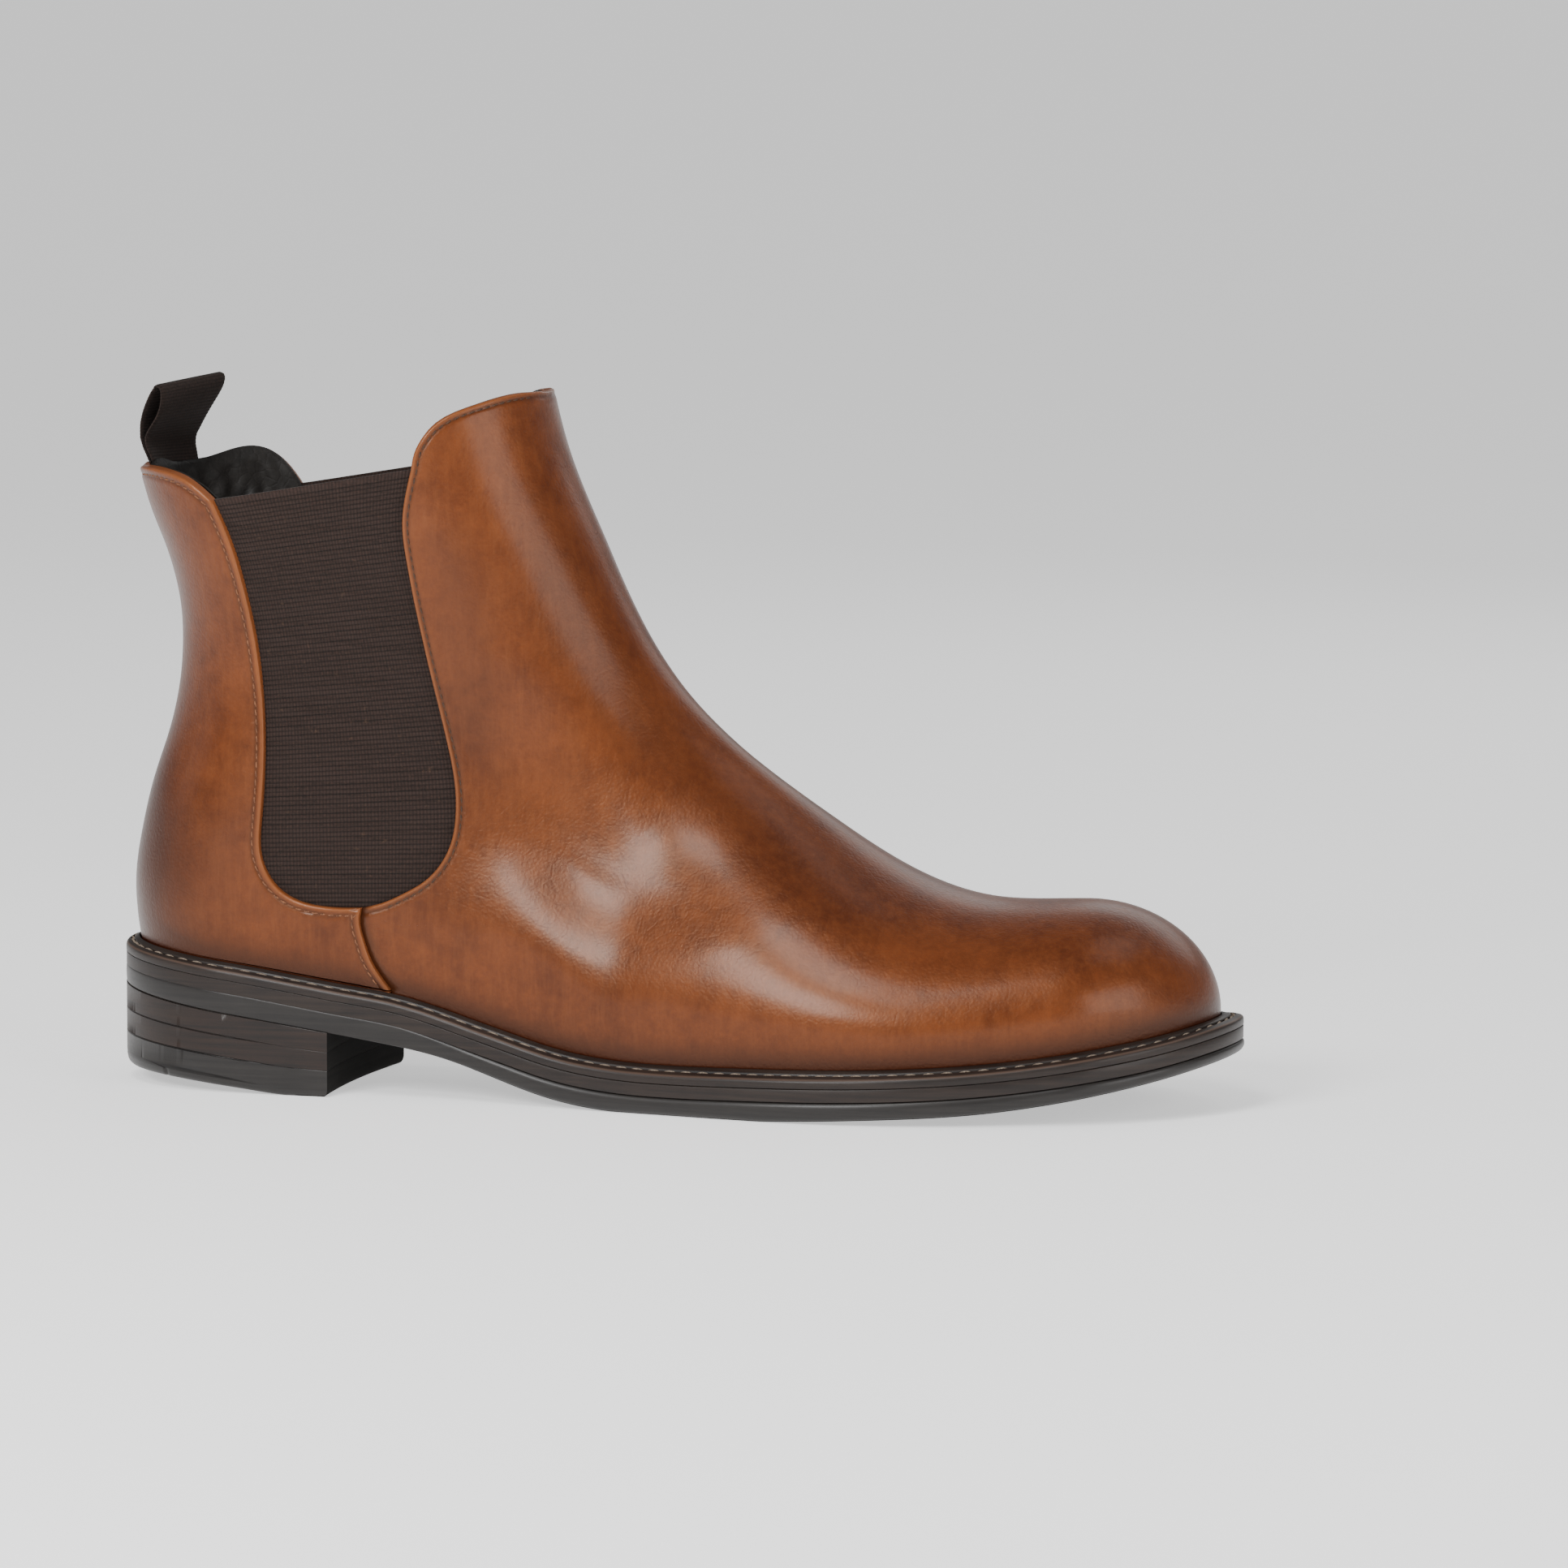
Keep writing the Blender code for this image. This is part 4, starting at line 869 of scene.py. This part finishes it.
def own_side_distance(points, lines):
    """Distance in side view from each point to the line of its own side."""
    flat = side_view(points)
    inner = points[:, 1] > centre(points[:, 0])
    return np.where(inner, nearest(flat, lines[1])[0], nearest(flat, lines[-1])[0])


def lining_shell(name, blocks, topline, creased):
    points, quads = weld(blocks)
    top_d, gore_d = own_side_distance(points, topline), own_side_distance(points, GORE_EDGE)
    edge_d = np.minimum(top_d, gore_d)
    by_tab = fade(13, 16, tab_distance(points))
    free = fade(0.8, 4.0, top_d) * smooth(4, 9, gore_d) * (1 - by_tab)
    in_shaft = smooth(95, 125, points[:, 2])
    depth = FOOT_LINING_DEPTH + (SHAFT_LINING_DEPTH - FOOT_LINING_DEPTH) * in_shaft - 0.75 * free
    crease = creased * wrinkles(points) * smooth(1.5, 6, edge_d)
    inner = depth + LINING - 0.35 * fade(0, 1.2, edge_d) + np.maximum(crease, -0.5)
    return shell(name, points, quads, -depth, inner, LINING_LOOK)


shaft, foot, _ = vamp_grids(52, 60, 34)
blocks = [side_block(standing(grid), side) for grid in (shaft, foot) for side in (-1, 1)]
lining = lining_shell("vamp_lining", blocks, VAMP_TOPLINE, 0.4)
hand_over(lining, "black_lining_leather", "lining_vamp")
blocks = [side_block(standing(quarter_grid(side, 70, 12, 110)[0]), side) for side in (-1, 1)]
lining = lining_shell("quarter_lining", blocks, QUARTER_TOPLINE, 1.0)
hand_over(lining, "black_lining_leather", "lining_quarter")

# Tape inside the front topline, between leather and lining.
reach = even(60)
tape_top = along(curve([(118.4, 183.6), (115.0, 183.3), (106.7, 180.9), (100.7, 178.3)], 120), reach)
tape_low = along(curve([(119.1, 180.6), (115.5, 180.2), (107.2, 177.8), (101.4, 175.4)], 120), reach)
tape = tape_low[None] + even(8)[:, None, None] * (tape_top - tape_low)[None]
points, quads = weld([side_block(tape[:, ::-1], side) for side in (-1, 1)])
band = shell("topline_tape_band", points, quads, -TAPE_OUTER, TAPE_INNER, TAPE_LOOK)
hand_over(band, "topline_tape", "topline_tape")


# ---- the bottom

def outline_sides(reach):
    """Outer and inner edge of the sole shape this far outside the upper, each from heel to toe."""
    points = ring(reach)
    points = np.roll(points, -points[:, 0].argmin(), axis=0)
    tip = points[:, 0].argmax()
    return points[:tip + 1], np.vstack([points[tip:], points[:1]])[::-1]


def plank(name, reach, top, bottom, edge, look, end=400.0, stations=200, bow=0.0, swell=np.ones_like):
    """A layer of the sole: its outline, its heights along x, and its edge as (inset, share of height) steps.

    Swell says how much of the inset the edge has at each x, and bow how far its front end is hollowed.
    """
    shares = even(9)
    points = []
    size = stations * len(shares)
    for inset, share in edge:
        outer, inner = outline_sides(reach + inset * swell(OUTLINE[:, 0]))
        low, high = outer[0, 0], min(end + inset, outer[-1, 0])
        steps = -np.cos(np.linspace(0, math.pi if high < end else math.pi / 2, stations))
        steps = (steps - steps[0]) / (steps[-1] - steps[0])
        x = low + (high - low) * steps
        left, right = np.interp(x, outer[:, 0], outer[:, 1]), np.interp(x, inner[:, 0], inner[:, 1])
        across = left[:, None] + (right - left)[:, None] * shares
        ahead = x[:, None] - bow * (4 * shares * (1 - shares)) * steps[:, None] ** 6
        low_z, high_z = bottom(ahead), top(ahead)
        points.append(np.stack([ahead, across, low_z + share * (high_z - low_z)], axis=2).reshape(-1, 3))
    last = len(shares) - 1
    rim = ([(r, 0) for r in range(stations)] + [(stations - 1, c) for c in range(1, last)]
           + [(r, last) for r in range(stations - 1, -1, -1)] + [(0, c) for c in range(last - 1, 0, -1)])
    rim = np.array([r * len(shares) + c for r, c in rim])
    before = np.roll(rim, 1)
    quads = [np.column_stack([level * size + before, level * size + rim, (level + 1) * size + rim,
                              (level + 1) * size + before]) for level in range(len(edge) - 1)]
    quads.append(grid_faces(stations, len(shares)))
    quads.append(grid_faces(stations, len(shares), (len(edge) - 1) * size)[:, ::-1])
    points, quads = weld([(np.vstack(points), np.vstack(quads))])
    corner = points[quads]
    if (np.cross(corner[:, 2] - corner[:, 0], corner[:, 3] - corner[:, 1]) * corner.mean(1)).sum() < 0:
        quads = quads[:, ::-1]
    return build(name, points, quads, look)


def above(height):
    return lambda x: welt_top(x) + height


def sole_bottom(x):
    return np.maximum(table(SOLE_BOTTOM, x), 0)


def heel_level(share):
    """Height in the heel: 0 is the ground side, 1 the seat under the outsole."""
    def height(x):
        ground = np.maximum(table(HEEL_BOTTOM, x), 0)
        return ground + share * (table(SOLE_BOTTOM, x) - 0.15 - ground)
    return height


def forepart(x):
    """The edge's rounding: little at the heel and waist, full from the waist forward."""
    return 0.15 + 0.85 * smooth(84, 128, x)


def unpolish_and_shade(piece):
    """The faces that look forward or down are cut and inked, not polished, and darker as painted shade."""
    piece.data.materials.append(UNPOLISHED_SHADED)
    for face in piece.data.polygons:
        if face.normal.x > 0.8 and face.center.x < (BREAST_X - ORIGIN[0] + 1) * MM or face.normal.z < -0.8:
            face.material_index = 1


NOTCH_X = 20.4            # a small nick in the heel's outer bottom edge
NOTCH_TOP = 6.4
NOTCH_HALF = 0.6
NOTCH_DEPTH = 1.1
FOOTBED_TOP = 5.4         # layers' heights above the welt's top
FOOTBED_LOW = 2.2
MIDSOLE_TOP = -2.65
MIDSOLE_LOW = -6.02
OUTSOLE_TOP = -6.08
SOCK_EDGE = [(0, 0), (0, 0.5), (-0.3, 0.8), (-1, 0.95), (-2.2, 1)]
FLAT_EDGE = [(-0.16, 0), (-0.05, 0.012), (0, 0.04), (0, 0.5), (0, 0.96), (-0.05, 0.988), (-0.16, 1)]
LIFT_EDGE = [(-0.05, 0), (-0.015, 0.01), (0, 0.03), (0, 0.5), (0, 0.97), (-0.015, 0.99), (-0.05, 1)]
ROUND_EDGE = [
    (-2, 0), (-1.35, 0.02), (-0.8, 0.07), (-0.35, 0.16), (-0.02, 0.3), (0.18, 0.46), (0.2, 0.62),
    (0.1, 0.78), (-0.12, 0.9), (-0.4, 0.97), (-0.8, 1),
]
TREAD_EDGE = [
    (-1.6, 0), (-1.05, 0.015), (-0.6, 0.06), (-0.25, 0.14), (-0.05, 0.26), (0, 0.4), (0, 0.97),
    (-0.015, 0.99), (-0.05, 1),
]
HEEL = {"end": BREAST_X, "stations": 160, "bow": 1.8}
sock = plank("sock_leather", -5.6, above(FOOTBED_TOP), above(FOOTBED_LOW), SOCK_EDGE, LINING_LOOK)
hand_over(sock, "footbed_leather", "footbed")
midsole = plank("midsole_layer", WELT_REACH - 0.05, above(MIDSOLE_TOP), above(MIDSOLE_LOW), FLAT_EDGE,
                SOLE_LOOK, swell=forepart)
hand_over(midsole, "dark_brown_sole", "midsole")
outsole = plank("outsole_rubber", WELT_REACH, above(OUTSOLE_TOP), sole_bottom, ROUND_EDGE, RUBBER_LOOK,
                stations=300, swell=forepart)
unpolish_and_shade(outsole)
hand_over(outsole, "sole_rubber", "outsole")
for name, high, low in (("upper", 1.005, 0.7), ("lower", 0.6985, 0.41)):
    lift = plank(f"heel_stack_{name}", WELT_REACH, heel_level(high), heel_level(low), LIFT_EDGE,
                 HEEL_LOOK, **HEEL)
    unpolish_and_shade(lift)
    hand_over(lift, "heel_stack", f"heel_lift_{name}")
heel_rubber = plank("heel_rubber", WELT_REACH + 0.03, heel_level(0.4085), heel_level(0), TREAD_EDGE,
                    RUBBER_LOOK, **HEEL)
unpolish_and_shade(heel_rubber)
for vertex in heel_rubber.data.vertices:
    x, y, z = (np.array(vertex.co) / MM + ORIGIN).tolist()
    if y < 0 and z < NOTCH_TOP and abs(x - NOTCH_X) < NOTCH_HALF:
        vertex.co.y += NOTCH_DEPTH * (1 - abs(x - NOTCH_X) / NOTCH_HALF) * (1 - z / NOTCH_TOP) ** 0.5 * MM
hand_over(heel_rubber, "sole_rubber", "heel_top_piece")

# Welt: slopes up to the leather, with a channel for the stitches and a painted highlight on its outer edge.
WELT_SECTION = [
    (0, -2.6), (0.93, -2.6), (0.975, -2.5), (1, -2.25), (1, -1.3), (0.995, -0.95), (0.975, -0.6),
    (0.94, -0.3), (0.895, -0.06), (0.84, 0.12), (0.78, 0.28), (0.68, 0.55), (0.645, 0.6), (0.63, 0.35),
    (0.61, 0), (0.56, -0.12), (0.46, -0.12), (0.42, 0), (0.405, 0.5), (0.39, 0.92), (0.35, 1.1),
    (0.08, 1.75), (0, 1.6),
]
CHANNEL = 0.51
inner_edge, outer_edge = ring(0.35), ring(WELT_REACH)


def welt_line(share, height):
    plan = inner_edge + (outer_edge - inner_edge) * share
    return np.column_stack([plan, welt_top(plan[:, 0]) + height])


section = np.stack([welt_line(*step) for step in WELT_SECTION], axis=1)
stations, m = section.shape[:2]
i, j = np.meshgrid(np.arange(stations), np.arange(m), indexing="ij")
ahead, up = (i + 1) % stations, (j + 1) % m
quads = np.stack([i * m + j, i * m + up, ahead * m + up, ahead * m + j], axis=-1).reshape(-1, 4)
# The welt's outer edge is marked for a painted highlight.
lip_highlight = [1.0 if -0.4 < height < 0 and share > 0.88 else 0.0 for share, height in WELT_SECTION]
strip = build("welt_strip", section.reshape(-1, 3), quads, SOLE_LOOK, {"lip_highlight": np.tile(lip_highlight, stations)})
hand_over(strip, "dark_brown_sole", "welt")


# ---- threads

THREAD_RINGS = 7
THREAD_SIDES = 6
THREAD_FACES = np.array(
    [(a + t, a + (t + 1) % 6, a + 6 + (t + 1) % 6, a + 6 + t) for a in range(0, 36, 6) for t in range(6)]
    + [(3, 2, 1, 0), (0, 5, 4, 3), (36, 37, 38, 39), (39, 40, 41, 36)])


def stitches(name, path, normals, pitch, length, radius, lift, tilt, look, closed=False):
    """A row of separate stitches along a path: each rises out of its hole and dips back into the next."""
    track = np.vstack([path, path[:1]]) if closed else path
    s = lengths(track)
    count = int(round(s[-1] / pitch))
    points = []
    for index in range(count):
        middle = (index + 0.5) * s[-1] / count
        centre = np.array([np.interp(middle, s, column) for column in track.T])
        k = min(np.searchsorted(s, middle), len(path) - 1)
        ahead = track[min(k + 1, len(track) - 1)] - track[max(k - 1, 0)]
        ahead = ahead / np.linalg.norm(ahead)
        normal = normals[k] - ahead * (normals[k] @ ahead)
        normal = normal / np.linalg.norm(normal)
        across = np.cross(normal, ahead)
        lean = tilt * (1 + 0.25 * math.sin(index * 2.4))
        line = ahead * math.cos(lean) + across * math.sin(lean)
        flank = np.cross(normal, line)
        for step in even(THREAD_RINGS):
            rise = lift * math.sin(math.pi * step) ** 0.6 - radius
            thick = radius * (0.55 + 0.45 * math.sin(math.pi * step) ** 0.5)
            spot = centre + line * (step - 0.5) * length + normal * rise
            for turn in range(THREAD_SIDES):
                angle = math.tau * turn / THREAD_SIDES
                points.append(spot + thick * (flank * math.cos(angle) + normal * math.sin(angle)))
    first = np.arange(count)[:, None, None] * THREAD_RINGS * THREAD_SIDES
    return build(name, np.array(points), (first + THREAD_FACES).reshape(-1, 4), look, sharp=80)


def beside(line, distance):
    """A side-view line moved this far to its right."""
    return line + right_of(np.gradient(line, axis=0)) * distance


def skin_normal(line, side):
    step = 0.3
    slope_x = (skin(line + (step, 0), side)[:, 1] - skin(line - (step, 0), side)[:, 1]) / (2 * step)
    slope_z = (skin(line + (0, step), side)[:, 1] - skin(line - (0, step), side)[:, 1]) / (2 * step)
    return unit(side * np.column_stack([-slope_x, np.ones(len(line)), -slope_z]))


vamp_row = along(beside(VAMP_EDGE, VAMP_STITCH)[8:-3], even(400))
for name, side in SIDES:
    topline, gore = curve(BACK_TOPLINE[side], 60)[4:-1], curve(GORE_REAR[side], 120)[:-1]
    quarter_border = np.vstack([topline, gore, curve(SIDE_SEAM, 40)])
    quarter_row = along(beside(quarter_border, QUARTER_STITCH)[3:-5], even(400))
    over_seam = SEAM_RISE * fade(1, 11, nearest(quarter_row, SEAM_LINE)[0])
    for base, row, over, look, lift in (("quarter", quarter_row, over_seam, TAN_THREAD, 0.32),
                                        ("vamp", vamp_row, 0.0, DARK_THREAD, 0.28)):
        normals = skin_normal(row, side)
        path = skin(row, side) + normals * np.reshape(-GROOVE + over, (-1, 1))
        threads = stitches(f"{base}_threads_{name}", path, normals, pitch=2.3, length=2.0, radius=0.24,
                           lift=lift, tilt=0.12, look=look)
        hand_over(threads, "brown_thread", f"{base}_stitching_{name}")

channel = welt_line(CHANNEL, 0.15)
upward = np.column_stack([OUTLINE_NORMAL * 0.25, np.ones(len(OUTLINE))])
threads = stitches("welt_threads", channel, upward, pitch=4.7, length=4.3, radius=0.42, lift=0.75, tilt=0.17,
                   look=PALE_THREAD, closed=True)
hand_over(threads, "pale_thread", "welt_stitching")


# ---- pull tab

TAB_TURN = math.radians(74)          # plan direction of the strap's width
WIDE = np.array([math.cos(TAB_TURN), math.sin(TAB_TURN), 0])
FORWARD = np.array([math.sin(TAB_TURN), -math.cos(TAB_TURN), 0])
HINGE = np.array([*TAB_CENTRE, 168.4])
STRAP = [
    (-0.47, -15.4), (-0.47, -8), (-0.47, -1), (-0.58, 3), (-0.93, 7), (-0.8, 11), (-0.12, 14.6),
    (0.6, 16.7), (1.55, 17.7), (2.75, 17.35), (3.72, 16), (4.15, 13.6), (3.8, 10.6), (2.62, 7.1),
    (1.3, 4.1), (0.55, 1.5), (0.47, -1), (0.47, -8), (0.47, -15.4),
]
STRAP_WALL = 0.45
STRAP_HALF = 12.0
STRAP_RIB = 0.85
WALL_MIDDLE = (5.9, 8.1)             # plan point of the shaft's wall behind the strap's middle
SEWN_DEPTH = 2.55                    # of the strap's sewn ends inside that wall


def back_wall(z, depth, offsets):
    """Plan points inside the back of the shaft, at these distances from the tab's middle along the wall."""
    x = np.interp(z, REAR[:, 1], REAR[:, 0]) + 24 * even(60) ** 2
    level = np.column_stack([x, np.full(60, z)])
    wall = np.vstack([skin(level, -1)[::-1, :2], skin(level, 1)[1:, :2]])
    s = lengths(wall)
    middle = s[np.argmin(np.linalg.norm(wall - WALL_MIDDLE, axis=1))]
    inside = wall + right_of(np.gradient(wall, axis=0)) * depth
    return np.column_stack([np.interp(middle + offsets, s, column) for column in inside.T])


line = curve(STRAP, 520)
offsets = np.linspace(-STRAP_HALF, STRAP_HALF, 33)
height_share = np.interp(offsets, (-STRAP_HALF, STRAP_HALF), (0.95, 1.1))
lean = np.interp(offsets, (-STRAP_HALF, STRAP_HALF), (4.2, 6.8))
strap = []
for forward, up in line:
    raised_up = np.where(up > 0, up * height_share, up)
    ahead = forward + lean * np.clip(raised_up / 18, 0, 2) ** 1.5
    wave = 0.35 * np.sin(up * 0.42 + 0.8) * smooth(2, 6, up) * (forward > 1) * (offsets / STRAP_HALF)
    level = (HINGE + offsets[:, None] * WIDE + (ahead + wave)[:, None] * FORWARD
             + raised_up[:, None] * (0, 0, 1))
    z = HINGE[2] + up
    if up < 7:
        straight = np.interp(z, (162.0, 165.0, 168.4, 171.5, 175.4), (0, 0.12, 0.6, 0.92, 1))
        wall = back_wall(min(z, 163.5), SEWN_DEPTH + forward, offsets)
        level[:, :2] = wall + (level[:, :2] - wall) * straight
    strap.append(level)
strap = np.stack(strap)
rows, columns = strap.shape[:2]
points = strap.reshape(-1, 3)
quads = facing(points, grid_faces(rows, columns), (0, 0, 1))
rib = np.repeat(np.abs(np.cos(math.pi * lengths(line) / STRAP_RIB)) ** 0.7, columns)
selvedge = np.tile(fade(STRAP_HALF - 0.9, STRAP_HALF, np.abs(offsets)), rows)
wall = STRAP_WALL * (0.35 + 0.65 * np.sqrt(selvedge)) + 0.10 * (rib - 0.6)
# The grooves between the strap's ribs are marked for painted shade.
piece = shell("pull_strap", points, quads, wall, wall, WEBBING_LOOK, {"valley_shade": np.clip(1 - rib * 1.3, 0, 1)})
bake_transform(piece)
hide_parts("pull_tab", "pull_tab_tails")


# ---- pieces inside, which keep their own meshes

INSIDE = {
    "toe_puff": plain_fibre("thermoplastic_stiffener", (0.48, 0.43, 0.35), (0.62, 0.57, 0.49), 600,
                            (300, 300, 300), 0.7, 0.05),
    "insole_board": plain_fibre("insole_fibreboard", (0.28, 0.18, 0.10), (0.45, 0.32, 0.20), 900,
                                (500, 500, 200), 0.85, 0.08),
    "cork_filler": plain_fibre("cork_filler", (0.30, 0.17, 0.08), (0.52, 0.34, 0.18), 700,
                               (450, 450, 450), 0.9, 0.15),
    "shank": plain_fibre("shank_steel", (0.38, 0.38, 0.40), (0.55, 0.55, 0.56), 900,
                         (60, 900, 900), 0.35, 0.02, 1.0),
}
INSIDE["heel_counter"] = INSIDE["toe_puff"]
for number in range(1, 6):
    INSIDE[f"heel_nail_{number}"] = INSIDE["shank"]
for name, look in INSIDE.items():
    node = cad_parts[name]
    for slot in node.material_slots:
        slot.material = look


# ---- stage, light and camera

def floor():
    """A pale sweep: flat round the boot, and rising far away on every side."""
    look = Look("pale_floor", Specular_IOR_Level=0.1, Emission_Color=(1.0, 1.0, 1.0, 1.0),
                Emission_Strength=0.7)
    tone = look.noise(3, 2, 0.5)
    sides = 72
    around = np.linspace(0, math.tau, sides + 1)[:-1]
    rings = [np.column_stack([radius * np.cos(around), radius * np.sin(around),
                              np.full(sides, 4 * smooth(6, 40, radius))])
             for radius in (0.01, 3, 6, 10, 14, 18, 22, 26, 30, 34, 38, 40)]
    row, column = np.meshgrid(np.arange(len(rings) - 1) * sides, np.arange(sides), indexing="ij")
    ahead = (column + 1) % sides
    quads = np.stack([row + column, row + sides + column, row + sides + ahead, row + ahead], axis=-1)
    mesh = bpy.data.meshes.new("floor")
    mesh.from_pydata(np.concatenate(rings).tolist(), [], quads.reshape(-1, 4).tolist() + [list(range(sides))])
    mesh.shade_smooth()
    colour = look.blend(tone, (0.90, 0.90, 0.90), (0.93, 0.93, 0.93))
    mesh.materials.append(look.finish(colour, look.span(tone, 0, 1, 0.8, 0.9)))
    placed("floor", mesh)


def softbox(name, azimuth, height, distance, size, power):
    """A rectangular area light looking at the boot; azimuth 0 is on the camera's side, 90 past the toe."""
    azimuth, height = math.radians(azimuth), math.radians(height)
    target = Vector((0.0, 0.0, 0.05))
    level = math.cos(height)
    away = Vector((level * math.sin(azimuth), -level * math.cos(azimuth), math.sin(height)))
    lamp = bpy.data.lights.new(name, "AREA")
    lamp.shape = "RECTANGLE"
    lamp.size, lamp.size_y = size
    lamp.energy = power
    made = placed(name, lamp)
    made.location = target + distance * away
    made.rotation_euler = (-away).to_track_quat("-Z", "Y").to_euler()


floor()
softbox("key_front", -18, 29, 1.6, (0.62, 0.42), 18)
softbox("key_above", -6, 54, 1.6, (0.35, 0.55), 8.5)
softbox("right_side", 62, 17, 1.5, (0.8, 0.8), 8.5)
softbox("left_side", -75, 22, 1.5, (0.5, 0.8), 1)
softbox("overhead", 115, 62, 1.6, (0.8, 0.5), 1.5)
softbox("behind", 165, 28, 1.6, (1.4, 0.5), 3)

world = bpy.data.worlds.new("studio")
world.use_nodes = True
background = world.node_tree.nodes["Background"]
background.inputs["Color"].default_value = (1.0, 1.0, 1.0, 1.0)
background.inputs["Strength"].default_value = 0.22
bpy.context.scene.world = world

EYE = np.array([684.5, -1927.3, 289.0])
AIM = np.array([150.0, 0.0, 90.0])
LENS = 174.8
PAN = -0.893              # degrees from the aim, which centre the boot as the photograph does
TILT = -0.235
gaze = (AIM - EYE) / np.linalg.norm(AIM - EYE)
heading = math.atan2(gaze[1], gaze[0]) + math.radians(PAN)
rise = math.asin(gaze[2]) + math.radians(TILT)
gaze = Vector((math.cos(heading) * math.cos(rise), math.sin(heading) * math.cos(rise), math.sin(rise)))
lens = bpy.data.cameras.new("camera")
lens.lens = LENS
lens.sensor_width = 36.0
lens.clip_start = 0.01
camera = placed("camera", lens)
camera.location = (EYE - ORIGIN) * MM
camera.rotation_euler = gaze.to_track_quat("-Z", "Y").to_euler()
bpy.context.scene.camera = camera
